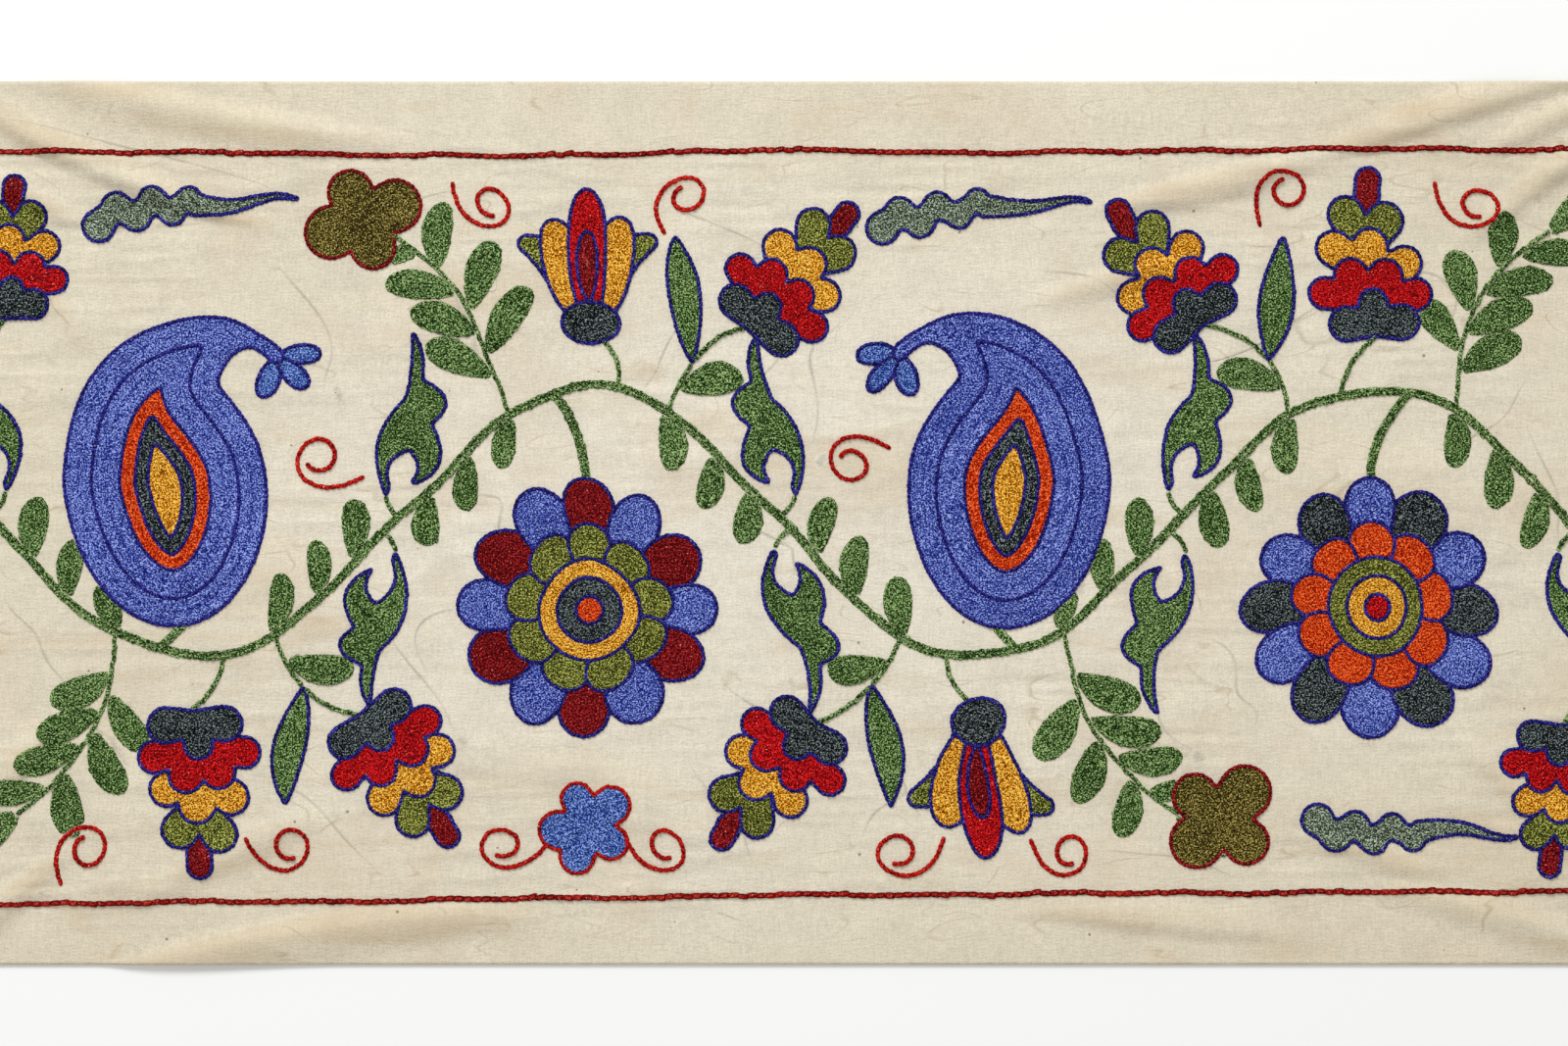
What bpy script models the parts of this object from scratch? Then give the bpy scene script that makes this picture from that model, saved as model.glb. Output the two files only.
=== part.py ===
"""A cut length of plain-woven cotton cloth that lies face up on a level surface, with its low folds.

Runs in Blender 4.5. Units are metres and +Z is up. The underside rests on z = 0 between the folds.
"""
import math
from collections import namedtuple

import bmesh
import bpy
from mathutils import Vector
from mathutils.geometry import delaunay_2d_cdt

# Size of the cloth
LENGTH = 0.840
WIDTH = 0.405
THICKNESS = 0.0012

# Spacing of the mesh points
RIM_STEP = 0.009
STATION_STEP = 0.008
STATION_SHARE = 0.55
ROW_SHARES = (0.0, 0.30, 0.62, 1.0)
JOIN_DISTANCE = 0.0004

# Folds, in millimetres from the centre of the cloth
# start and end give the line of the crest, bow its sideways sag at mid-length and to the left,
# height the rise of the crest, reach the half-width, and lean the crest's shift across the fold
Fold = namedtuple("Fold", "start end bow height reach lean")
FOLDS = (
    # Far left corner
    Fold((-366, 210), (-168, 172), -6, 3.4, 13, 0.25),
    Fold((-402, 212), (-232, 136), -7, 4.2, 10, -0.30),
    Fold((-384, 174), (-322, 138), -2, 2.6, 8, -0.20),
    Fold((-358, 136), (-316, 76), -3, 2.2, 8, 0.20),
    # Far right corner
    Fold((238, 166), (392, 214), 4, 3.6, 12, -0.25),
    Fold((140, 142), (256, 170), -2, 3.0, 11, 0.25),
    Fold((316, 166), (402, 206), 2, 2.8, 9, 0.10),
    Fold((306, 124), (404, 196), 3, 3.4, 9, -0.20),
    Fold((112, 99), (204, 119), 2, 2.4, 10, 0.20),
    # Near left corner
    Fold((-400, -204), (-326, -148), -3, 3.6, 9, 0.20),
    Fold((-370, -136), (-328, -86), 4, 2.8, 10, -0.25),
    Fold((-318, -211), (-104, -180), 5, 4.0, 14, 0.30),
    Fold((-298, -174), (-208, -134), 2, 2.4, 12, 0.10),
    # Near right corner
    Fold((108, -176), (236, -188), 2, 2.6, 12, -0.25),
    Fold((270, -168), (402, -208), 4, 3.6, 12, 0.25),
    Fold((308, -98), (386, -176), 3, 3.0, 9, -0.20),
    Fold((236, -144), (302, -165), 2, 2.2, 9, 0.20),
    # Left and right ends
    Fold((-416, 60), (-372, -52), 8, 1.8, 15, 0.20),
    Fold((398, 74), (376, -40), -8, 1.8, 15, -0.20),
    # Broad swells of the field
    Fold((-330, -20), (-150, -58), 6, 1.5, 42, 0.10),
    Fold((-80, 38), (130, 4), 10, 1.8, 52, -0.10),
    Fold((176, 44), (340, 2), -8, 1.5, 40, 0.10),
    Fold((-214, 82), (-46, 112), 6, 1.3, 34, -0.10),
    Fold((40, -122), (214, -84), -8, 1.3, 36, 0.10),
    Fold((-176, -118), (-24, -140), 6, 1.2, 30, 0.0),
)
MM = 0.001


def clear_scene():
    """Removes every object that the new file starts with."""
    for obj in list(bpy.data.objects):
        bpy.data.objects.remove(obj, do_unlink=True)


def fold_axes(fold):
    """Gives a fold's start, its unit direction, the unit normal to its left, and its length in metres."""
    start = Vector(fold.start) * MM
    chord = Vector(fold.end) * MM - start
    length = chord.length
    along = chord / length
    return start, along, Vector((-along.y, along.x)), length


def fold_reach(fold, t):
    """Gives a fold's half-width in metres at the share t of its length, narrower towards both ends."""
    return fold.reach * MM * (0.55 + 0.45 * math.sin(math.pi * t))


def fold_height(fold, x, y):
    """Gives the rise of one fold at a point, exactly zero outside it."""
    start, along, left, length = fold_axes(fold)
    offset = Vector((x, y)) - start
    t = offset.dot(along) / length
    if t <= 0.0 or t >= 1.0:
        return 0.0
    side = offset.dot(left) - 4.0 * fold.bow * MM * t * (1.0 - t)
    share = side / fold_reach(fold, t)
    if abs(share) >= 1.0:
        return 0.0
    beyond = share - fold.lean
    room = 1.0 - fold.lean if beyond > 0.0 else 1.0 + fold.lean
    profile = math.cos(0.5 * math.pi * beyond / room) ** 2
    return fold.height * MM * math.sin(math.pi * t) ** 0.8 * profile


def cloth_height(x, y):
    """Gives the height of the underside over the surface, with the folds blended where they meet."""
    return math.sqrt(sum(fold_height(fold, x, y) ** 2 for fold in FOLDS))


def fold_rows(fold):
    """Gives rows of points along a fold: its crest, both feet, and rows between them."""
    start, along, left, length = fold_axes(fold)
    count = max(4, round(length / max(STATION_STEP, fold.reach * MM * STATION_SHARE)))
    shares = [fold.lean]
    for step in ROW_SHARES[1:]:
        shares.append(fold.lean + step * (1.0 - fold.lean))
        shares.append(fold.lean - step * (1.0 + fold.lean))
    rows = []
    for share in shares:
        row = []
        for i in range(count + 1):
            t = i / count
            side = 4.0 * fold.bow * MM * t * (1.0 - t) + share * fold_reach(fold, t)
            row.append(start + along * (t * length) + left * side)
        rows.append(row)
    return rows


def inside(point):
    """Tells whether a point lies on the cloth and clear of its rim."""
    return abs(point.x) < LENGTH / 2 - 0.3 * RIM_STEP and abs(point.y) < WIDTH / 2 - 0.3 * RIM_STEP


def rim_points():
    """Gives the points of the cloth's rim, anticlockwise from the near left corner."""
    nx = round(LENGTH / RIM_STEP)
    ny = round(WIDTH / RIM_STEP)
    xs = [LENGTH * (i / nx - 0.5) for i in range(nx)]
    ys = [WIDTH * (i / ny - 0.5) for i in range(ny)]
    near = [Vector((x, -WIDTH / 2)) for x in xs]
    right = [Vector((LENGTH / 2, y)) for y in ys]
    far = [Vector((-x, WIDTH / 2)) for x in xs]
    left = [Vector((-LENGTH / 2, -y)) for y in ys]
    return near + right + far + left


def plan_triangles():
    """Triangulates the cloth's plan with an edge along every row of every fold."""
    points = rim_points()
    edges = [(i, (i + 1) % len(points)) for i in range(len(points))]
    for fold in FOLDS:
        for row in fold_rows(fold):
            previous = None
            for point in row:
                if not inside(point):
                    previous = None
                    continue
                points.append(point)
                if previous is not None:
                    edges.append((previous, len(points) - 1))
                previous = len(points) - 1
    plan, _, faces = delaunay_2d_cdt(points, edges, [], 0, JOIN_DISTANCE, False)[:3]
    return plan, [facing_up(plan, face) for face in faces]


def facing_up(plan, face):
    """Gives a triangle's corners in the anticlockwise order."""
    a, b, c = face
    if (plan[b] - plan[a]).cross(plan[c] - plan[a]) < 0.0:
        return a, c, b
    return a, b, c


def build_cloth():
    """Makes the closed sheet: its underside, its upper side and the cut edge between them."""
    plan, faces = plan_triangles()
    bm = bmesh.new()
    under = []
    over = []
    for point in plan:
        height = cloth_height(point.x, point.y)
        under.append(bm.verts.new((point.x, point.y, height)))
        over.append(bm.verts.new((point.x, point.y, height + THICKNESS)))
    sides = set()
    for a, b, c in faces:
        bm.faces.new((over[a], over[b], over[c]))
        bm.faces.new((under[a], under[c], under[b]))
        sides.update(((a, b), (b, c), (c, a)))
    for a, b in sorted(sides):
        if (b, a) not in sides:
            bm.faces.new((under[a], under[b], over[b]))
            bm.faces.new((under[a], over[b], over[a]))
    mesh = bpy.data.meshes.new("cloth_panel")
    bm.to_mesh(mesh)
    bm.free()
    obj = bpy.data.objects.new("cloth_panel", mesh)
    bpy.context.scene.collection.objects.link(obj)
    return obj


def cotton_material():
    """Makes the unbleached cotton of the cloth."""
    material = bpy.data.materials.new("unbleached_cotton")
    material.use_nodes = True
    shader = material.node_tree.nodes["Principled BSDF"]
    shader.inputs["Base Color"].default_value = (0.760, 0.690, 0.560, 1.0)
    shader.inputs["Roughness"].default_value = 0.9
    return material


clear_scene()
cloth = build_cloth()
cloth.data.materials.append(cotton_material())
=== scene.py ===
"""Dresses the cloth of the CAD frame: the puckered ground cotton, and the chain-stitch embroidery on it.

The design is laid out in plan, in millimetres from the centre of the cloth, as a list of areas and lines.
Later ones lie over earlier ones, and every area is filled with rows of chain stitch that echo its edge.
"""
import itertools
import math
from collections import namedtuple

import bpy
import numpy as np
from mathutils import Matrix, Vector
from mathutils.geometry import delaunay_2d_cdt


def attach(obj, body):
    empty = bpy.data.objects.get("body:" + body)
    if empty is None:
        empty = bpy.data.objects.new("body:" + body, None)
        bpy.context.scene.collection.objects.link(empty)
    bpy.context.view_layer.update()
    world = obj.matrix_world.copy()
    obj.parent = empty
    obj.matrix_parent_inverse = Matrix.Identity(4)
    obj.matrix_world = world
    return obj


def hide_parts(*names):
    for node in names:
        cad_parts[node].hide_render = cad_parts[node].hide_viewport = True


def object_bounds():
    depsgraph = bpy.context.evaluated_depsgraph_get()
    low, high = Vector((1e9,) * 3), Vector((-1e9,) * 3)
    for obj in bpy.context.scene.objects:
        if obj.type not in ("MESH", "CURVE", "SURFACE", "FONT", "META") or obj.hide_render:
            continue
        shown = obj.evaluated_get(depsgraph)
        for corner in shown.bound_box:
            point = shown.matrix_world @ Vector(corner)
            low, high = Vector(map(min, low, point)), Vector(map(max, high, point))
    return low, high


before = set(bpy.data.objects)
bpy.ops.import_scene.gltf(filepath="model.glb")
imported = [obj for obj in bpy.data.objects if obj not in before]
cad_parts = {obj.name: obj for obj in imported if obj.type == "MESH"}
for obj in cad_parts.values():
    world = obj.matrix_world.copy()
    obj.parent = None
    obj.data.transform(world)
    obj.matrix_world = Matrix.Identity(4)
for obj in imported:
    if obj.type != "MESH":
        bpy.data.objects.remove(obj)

bl_info = {
    "name": "Suzani cloth",
    "version": (1, 0, 0),
    "blender": (4, 5, 0),
    "location": "3D View > Sidebar > Suzani",
    "description": "Builds a laid suzani cloth with chain-stitch embroidery, its floor, light and camera",
    "category": "Object",
}

CAD_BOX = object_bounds()
MM = 0.001
# Seeds of the random draws: the relief of the ground, the rows, and the links of the first thread
GROUND_SEED = 7
ROW_SEED = 11
LINK_SEED = 101


def linear(code):
    """Turns an sRGB hex colour into the linear one that Blender works in."""
    channels = [int(code[i:i + 2], 16) / 255 for i in (1, 3, 5)]
    return tuple(c / 12.92 if c <= 0.04045 else ((c + 0.055) / 1.055) ** 2.4 for c in channels)


# Threads

# Each thread has a colour of painted shade, a middle one and a colour of painted highlight where it shines
# fleck is how strongly its strands are flecked with painted highlight and painted shade
Thread = namedtuple("Thread", "name shade middle shine fleck")
THREADS = (
    Thread("blue", "#101a66", "#4a5cb8", "#a4b4f4", 0.86),
    Thread("sky", "#12266c", "#466ab8", "#9ab4f0", 0.86),
    Thread("slate", "#020507", "#192023", "#848f8f", 0.86),
    Thread("orange", "#801000", "#e23c00", "#fa7c38", 0.86),
    Thread("green", "#0e2206", "#466829", "#a8c282", 0.86),
    Thread("crimson", "#4a0004", "#c40006", "#e42428", 0.86),
    Thread("ochre", "#783a02", "#f2a418", "#ffd868", 0.86),
    Thread("olive", "#20240a", "#686c20", "#bcc064", 0.86),
    Thread("maroon", "#340002", "#7c0206", "#b42c30", 0.86),
    Thread("brown", "#201804", "#584a14", "#b4a458", 0.86),
    Thread("heather", "#222a1c", "#62705a", "#bcc8b4", 0.86),
    Thread("navy", "#060630", "#181472", "#4440a8", 0.86),
    Thread("red", "#480200", "#b40604", "#d42c1a", 0.70),
    Thread("carmine", "#340000", "#900504", "#c44a34", 0.42),
)
THREAD_NAMES = [thread.name for thread in THREADS]
# These work lines only, and fill no area
LINE_THREADS = ("navy", "red", "carmine")

# Stitch sizes in millimetres
# Each section gives a place along the link, from tail to head, and there the half-width, crest and groove
# as shares of the full ones
# tone is how light the stitch lies, eye how much a painted highlight lightens its middle, or when below zero
# how much painted shade darkens its groove, and spread how uneven the links are
Stitch = namedtuple("Stitch", "length width height pitch sections tone eye spread")
FILL_SECTIONS = ((-0.12, 0.62, 0.34, 0.20), (0.50, 1.0, 1.0, 0.42), (1.08, 0.74, 0.48, 0.30))
OUTLINE_SECTIONS = (
    (-0.14, 0.62, 0.40, 0.30),
    (0.30, 0.95, 0.96, 0.62),
    (0.74, 1.0, 1.0, 0.58),
    (1.10, 0.66, 0.50, 0.36),
)
BORDER_SECTIONS = (
    (-0.16, 0.62, 0.40, 0.32),
    (0.06, 0.86, 0.84, 0.62),
    (0.34, 0.98, 0.98, 0.56),
    (0.66, 1.0, 1.0, 0.48),
    (0.92, 0.92, 0.92, 0.56),
    (1.12, 0.66, 0.52, 0.38),
)
STITCHES = {
    "fill": Stitch(2.1, 2.2, 0.80, 1.76, FILL_SECTIONS, 0.42, -0.20, 1.0),
    "outline": Stitch(2.4, 2.1, 1.0, 2.0, OUTLINE_SECTIONS, 0.38, -0.10, 0.45),
    "stem": Stitch(2.7, 2.4, 1.05, 2.0, OUTLINE_SECTIONS, 0.44, -0.30, 0.8),
    "scroll": Stitch(2.7, 2.35, 1.1, 2.4, OUTLINE_SECTIONS, 0.44, -0.04, 0.5),
    "border": Stitch(4.2, 2.9, 1.15, 2.4, BORDER_SECTIONS, 0.22, 0.66, 0.7),
}
# Across a link: the share of its half-width, and there the painted shade (below zero) at its sides and the
# painted highlight (above zero) on its crests
ACROSS = ((-1.0, -0.34), (-0.56, 0.12), (0.0, 0.0), (0.56, 0.12), (1.0, -0.34))
# How unevenly a hand lays the links: turn in radians, shift in millimetres, width and height as shares,
# and how much the tones of single strands and of whole links differ
Uneven = namedtuple("Uneven", "turn width height shift strand tone")
UNEVEN = Uneven(turn=0.11, width=0.06, height=0.09, shift=0.13, strand=0.18, tone=0.08)
# How much painted shade darkens the tail of a link, under the head of the one before
TAIL_SHADE = 0.14
# How far the sides of a link reach under the surface of the cloth, as a share of its height
SIDE_DEPTH = 0.12
# The share of an outline's width that lies to each side of the edge, clear of the filling
EDGE_SHARE = 0.36
# Rows and outlines are traced on a grid this fine, and their paths have points as close
GRID_STEP = 0.8
# A row ends this far from a later area that hides it, and a run has at least this many points
CLEARANCE = 0.2
LEAST_RUN = 3
# A ring of stitches has at least the first length, and from the second on it has two links or more
LEAST_RING = 1.6
TWO_LINK_RING = 3.5
# The flat ribbons under the rows: their tone, low so that they lie as painted shade in the gaps between rows,
# their height over the cloth, how far they overlap, and how far they keep inside an edge that has no outline
UNDERLAY_SHADE = 0.15
UNDERLAY_LIFT = 0.28
UNDERLAY_OVERLAP = 0.15
UNDERLAY_INSET = 0.1
# A ring of ribbon with fewer points than this has a patch in its middle: where it starts and ends, and
# half its width
SMALL_RING = 8
MIDDLE_PATCH = (-0.9, 0.6, 0.9)
# The patches on other bare places: their reach and half their width
PATCH_REACH = 0.55
PATCH_HALF = 0.5

# Folds of the cloth

# start and end give the line of the crest, bow its sideways sag at mid-length and to the left,
# height the rise of the crest, reach the half-width, and lean the crest's shift across the fold
Fold = namedtuple("Fold", "start end bow height reach lean")
FOLDS = (
    # Far left corner
    Fold((-366, 210), (-168, 172), -6, 3.4, 13, 0.25),
    Fold((-402, 212), (-232, 136), -7, 4.2, 10, -0.30),
    Fold((-384, 174), (-322, 138), -2, 2.6, 8, -0.20),
    Fold((-358, 136), (-316, 76), -3, 2.2, 8, 0.20),
    # Far right corner
    Fold((238, 166), (392, 214), 4, 3.6, 12, -0.25),
    Fold((140, 142), (256, 170), -2, 3.0, 11, 0.25),
    Fold((316, 166), (402, 206), 2, 2.8, 9, 0.10),
    Fold((306, 124), (404, 196), 3, 3.4, 9, -0.20),
    Fold((112, 99), (204, 119), 2, 2.4, 10, 0.20),
    # Near left corner
    Fold((-400, -204), (-326, -148), -3, 3.6, 9, 0.20),
    Fold((-370, -136), (-328, -86), 4, 2.8, 10, -0.25),
    Fold((-318, -211), (-104, -180), 5, 4.0, 14, 0.30),
    Fold((-298, -174), (-208, -134), 2, 2.4, 12, 0.10),
    # Near right corner
    Fold((108, -176), (236, -188), 2, 2.6, 12, -0.25),
    Fold((270, -168), (402, -208), 4, 3.6, 12, 0.25),
    Fold((308, -98), (386, -176), 3, 3.0, 9, -0.20),
    Fold((236, -144), (302, -165), 2, 2.2, 9, 0.20),
    # Left and right ends
    Fold((-416, 60), (-372, -52), 8, 1.8, 15, 0.20),
    Fold((398, 74), (376, -40), -8, 1.8, 15, -0.20),
    # Broad swells of the field
    Fold((-330, -20), (-150, -58), 6, 1.5, 42, 0.10),
    Fold((-80, 38), (130, 4), 10, 1.8, 52, -0.10),
    Fold((176, 44), (340, 2), -8, 1.5, 40, 0.10),
    Fold((-214, 82), (-46, 112), 6, 1.3, 34, -0.10),
    Fold((40, -122), (214, -84), -8, 1.3, 36, 0.10),
    Fold((-176, -118), (-24, -140), 6, 1.2, 30, 0.0),
)

# The spacing of the ground's mesh points
GROUND_STEP_X = 5.0
GROUND_STEP_Y = 1.35
# How far from the stitches the puckers are looked for, where they are full, and how far they fade over
PUCKER_REACH = 22
PUCKER_FULL = 3.0
PUCKER_FADE = 26.0
# They die out this near the rim
PUCKER_RIM = 14
# The features of the noises that shape them, in cells in y and x
FINE_CELLS = (2.6, 5.0)
LONG_CELLS = (5.5, 11.0)
BROAD_CELLS = (22, 12)

# The paths of the top and bottom border lines, a little uneven as sewn
BORDER_TOP = (
    (-387, 171.0), (-230, 169.5), (-108, 168.0), (-22, 171.4), (90, 169.6), (240, 171.6), (387, 171.2)
)
BORDER_BOTTOM = ((-387, -174.8), (-200, -173.6), (-22, -170.8), (140, -170.0), (387, -168.6))

# The ridge that a thread on the back raises: its height, how far it lies over the cloth, and half its
# width as a share of the line's
RIDGE_RISE = 0.18
RIDGE_LIFT = 0.02
RIDGE_HALF = 0.62
# Threads carried along the back of the work, and knots in them, which show through as soft grey lines
# bow is the sag to the left, curl how far the thread wanders, and width that of the line, in millimetres
BackThread = namedtuple("BackThread", "start end bow curl width")
BACK_THREADS = (
    BackThread((-362, 186), (-232, 152), 3, 0.6, 1.3),
    BackThread((-352, 122), (-338, 96), 3, 1.8, 1.5),
    BackThread((-236, 120), (-208, 64), 8, 3.0, 1.5),
    BackThread((-222, 128), (-152, 152), 2, 0.8, 1.3),
    BackThread((-150, 118), (-128, 58), -6, 2.4, 1.5),
    BackThread((-141, 16), (-128, -14), 5, 2.6, 1.6),
    BackThread((-44, 110), (-66, 60), 3, 1.2, 1.3),
    BackThread((-52, 146), (4, 118), 2, 0.6, 1.3),
    BackThread((24, 96), (16, 34), -7, 2.8, 1.6),
    BackThread((-24, 44), (14, 92), 5, 1.4, 1.3),
    BackThread((-22, 6), (12, -34), 6, 2.8, 1.6),
    BackThread((118, 118), (172, 92), 4, 1.5, 1.4),
    BackThread((150, 20), (138, -24), -6, 3.0, 1.6),
    BackThread((196, 74), (262, 112), -3, 0.8, 1.3),
    BackThread((284, 116), (308, 96), 6, 3.2, 1.6),
    BackThread((300, 30), (342, 66), -4, 1.2, 1.3),
    BackThread((-330, -84), (-300, -112), 3, 1.6, 1.5),
    BackThread((-356, -30), (-322, -76), -5, 2.2, 1.4),
    BackThread((-232, -118), (-186, -162), 3, 0.8, 1.3),
    BackThread((-198, -34), (-152, -96), 4, 1.0, 1.3),
    BackThread((-168, -66), (-150, -36), 6, 3.0, 1.6),
    BackThread((-30, -72), (22, -96), -5, 1.8, 1.4),
    BackThread((-44, -112), (-12, -160), 5, 2.2, 1.5),
    BackThread((58, -108), (34, -142), 5, 2.6, 1.5),
    BackThread((164, -62), (186, -104), -4, 2.0, 1.4),
    BackThread((196, -56), (214, -96), 6, 3.0, 1.6),
    BackThread((150, -150), (206, -162), 3, 0.8, 1.3),
    BackThread((304, -74), (338, -58), 4, 1.0, 1.3),
    BackThread((340, 44), (356, -12), 5, 1.2, 1.4),
    BackThread((-139, 112), (-133, 107), 1, 0.5, 4.4),
    BackThread((-207, 62), (-203, 56), 1, 0.5, 4.0),
    BackThread((18, 32), (14, 26), 1, 0.4, 4.6),
    BackThread((-126, -16), (-123, -22), 1, 0.4, 4.0),
    BackThread((137, -26), (134, -31), 1, 0.4, 4.2),
    BackThread((187, -106), (192, -110), 1, 0.4, 4.4),
    BackThread((-150, -98), (-146, -103), 1, 0.4, 4.2),
    BackThread((310, 94), (314, 88), 1, 0.4, 4.4),
)

# Plan geometry

# An area is a closed outline or a string of discs, worked in one thread, with an outline thread or none
# A line is one or more rows of chain stitch along a path
Area = namedtuple("Area", "corners discs thread edge")
Line = namedtuple("Line", "path thread stitch rows")


def place(points, at=(0, 0), turn=0.0, flip=1, size=1.0):
    """Sizes plan points, mirrors them if flip is -1, turns them anticlockwise by degrees and moves them."""
    c = math.cos(math.radians(turn))
    s = math.sin(math.radians(turn))
    x = points[:, 0] * flip * size
    y = points[:, 1] * size
    return np.stack([at[0] + x * c - y * s, at[1] + x * s + y * c], axis=1)


def reshaped(item, change, size=1.0):
    """Gives an area or line with its plan points changed by a function and its discs sized."""
    if isinstance(item, Line):
        return item._replace(path=change(item.path))
    if item.discs is not None:
        return item._replace(discs=np.column_stack([change(item.discs[:, :2]), item.discs[:, 2] * size]))
    return item._replace(corners=change(item.corners))


def move(items, at=(0, 0), turn=0.0, flip=1, size=1.0):
    """Places areas and lines."""
    return [reshaped(item, lambda points: place(points, at, turn, flip, size), size) for item in items]


def over(items):
    """Mirrors areas and lines in the long middle line of the cloth."""
    return move(items, turn=180, flip=-1)


def outline_area(corners, thread, edge="navy"):
    """Makes an area from a closed outline."""
    return Area(np.asarray(corners, float), None, thread, edge)


def disc_area(path, radii, thread, edge="navy"):
    """Makes an area from a string of discs along a path, without the discs too small to work."""
    keep = radii > 0.4
    return Area(None, np.column_stack([path[keep], radii[keep]]), thread, edge)


def circle(radius, at=(0, 0), count=48):
    """Gives the corners of a circle."""
    angle = np.linspace(0, 2 * math.pi, count, endpoint=False)
    return np.stack([at[0] + radius * np.cos(angle), at[1] + radius * np.sin(angle)], axis=1)


def petal(length, width, fullness=0.6, count=40):
    """Gives a petal that is narrow at its foot, at the origin, and round at its far end."""
    angle = np.linspace(0, 2 * math.pi, count, endpoint=False)
    x = 0.5 * width * np.sin(angle) * np.abs(np.sin(angle / 2)) ** fullness
    return np.stack([x, 0.5 * length * (1 - np.cos(angle))], axis=1)


def curve(start, end, bow=0.0, count=24):
    """Gives a path from start to end that sags to its left by bow."""
    start = np.asarray(start, float)
    chord = np.asarray(end, float) - start
    t = np.linspace(0.0, 1.0, count)[:, None]
    left = np.array([-chord[1], chord[0]]) / np.hypot(*chord)
    return start + chord * t + left * (4 * bow * t * (1 - t))


def headings(path):
    """Gives the unit direction of a path at each of its points."""
    step = np.gradient(path, axis=0)
    return step / np.hypot(step[:, 0], step[:, 1])[:, None]


def turn_of(direction):
    """Gives the turn in degrees that brings +Y to a direction."""
    return math.degrees(math.atan2(direction[1], direction[0])) - 90


# Motifs, each with its foot at the origin and pointing to +Y

# The rings of petals of a rosette, in shares of its radius: width is that of a whole ring's petals together,
# and fewer is how many petals the ring lacks
PetalRing = namedtuple("PetalRing", "fewer offset foot length width fullness")
PETAL_RINGS = (
    PetalRing(fewer=0, offset=0.0, foot=0.40, length=0.60, width=5.7, fullness=0.45),
    PetalRing(fewer=3, offset=0.5, foot=0.26, length=0.38, width=3.7, fullness=0.40),
)
DISC_SHARES = (0.37, 0.235, 0.10)


def rosette(radius, count, petals, discs):
    """A round flower head of two rings of petals about three discs, centred on the origin."""
    items = []
    for ring, threads in zip(PETAL_RINGS, petals):
        number = count - ring.fewer
        shape = petal(ring.length * radius, ring.width * radius / number, ring.fullness)
        for i in range(number):
            turn = 360 * (i + ring.offset) / number
            foot = place(np.array([[0.0, ring.foot * radius]]), turn=turn)[0]
            items.append(outline_area(place(shape, foot, turn), threads[i % len(threads)]))
    for share, thread in zip(DISC_SHARES, discs):
        items.append(outline_area(circle(share * radius), thread))
    return items


def boteh_spine(length, turning):
    """Gives the middle line of a bent drop and the share of its full half-width at each point."""
    straight = 0.34
    widest = 0.30
    first_heading = math.radians(98)
    s = np.linspace(0.0, 1.0, 80)
    bend = math.radians(turning) * np.clip((s - straight) / (1 - straight), 0, 1) ** 1.7
    heading = first_heading - bend
    step = length / (len(s) - 1)
    x = np.concatenate([[0.0], np.cumsum(np.cos(heading[1:]) * step)])
    y = np.concatenate([[0.0], np.cumsum(np.sin(heading[1:]) * step)])
    # A round foot up to the widest place, then a long taper to a thin neck
    low = np.sqrt(np.clip(1 - ((widest - s) / 0.315) ** 2, 0, 1))
    high = 0.07 + 0.93 * (1 - np.clip((s - widest) / 0.62, 0, 1) ** 1.2) ** 1.25
    return np.stack([x, y], axis=1), np.where(s < widest, low, high)


# How far in from the edge of a boteh each of its bands starts, in millimetres
Band = namedtuple("Band", "inset thread")
BOTEH_BANDS = (
    Band(0, "blue"),
    Band(12.5, "blue"),
    Band(25.5, "orange"),
    Band(32.5, "slate"),
    Band(38.5, "ochre"),
)


def boteh(length, half_width, turning):
    """A bent drop of nested bands, the two outer ones in one colour, with three petals at its tip."""
    spine, share = boteh_spine(length, turning)
    tip_turn = turn_of(headings(spine)[-1])
    items = []
    for turn in (-58, 58, 0):
        items.append(outline_area(place(petal(20, 11), spine[-1], tip_turn + turn), "sky"))
    for band in BOTEH_BANDS:
        items.append(disc_area(spine, half_width * share - band.inset, band.thread))
    return items


def lobed(foot, lobes, thread, edge="navy"):
    """Makes one area of round lobes that spread from a foot."""
    discs = []
    for x, y, radius in lobes:
        path = curve(foot, (x, y), 0, 12)
        discs.append(np.column_stack([path, radius * np.linspace(0.7, 1.0, len(path))]))
    return Area(None, np.concatenate(discs), thread, edge)


# The tiers of a fan flower from its tip down: thread, foot, and the middle and radius of each lobe
Tier = namedtuple("Tier", "thread foot lobes")
FAN = (
    Tier("maroon", (-3, 64), ((-4, 75, 6.4), (-4, 82, 6.4))),
    Tier("olive", (-3, 48), ((-13, 62, 9.4), (7, 65, 9.0))),
    Tier("ochre", (-1, 34), ((-20, 41, 8.8), (-4, 49, 9.2), (15, 47, 9.0))),
    Tier("crimson", (0, 20), ((-24, 25, 8.2), (-9, 34, 8.8), (9, 34, 8.4), (24, 26, 8.0))),
    Tier("slate", (0, 10), ((-15, 10, 9.0), (0, 20, 7.4), (15, 11, 8.8))),
)


def fan_flower():
    """A flower of scalloped tiers, each over the one before, 88 mm long and leaning a little."""
    return [lobed(tier.foot, tier.lobes, tier.thread) for tier in FAN]


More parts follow.
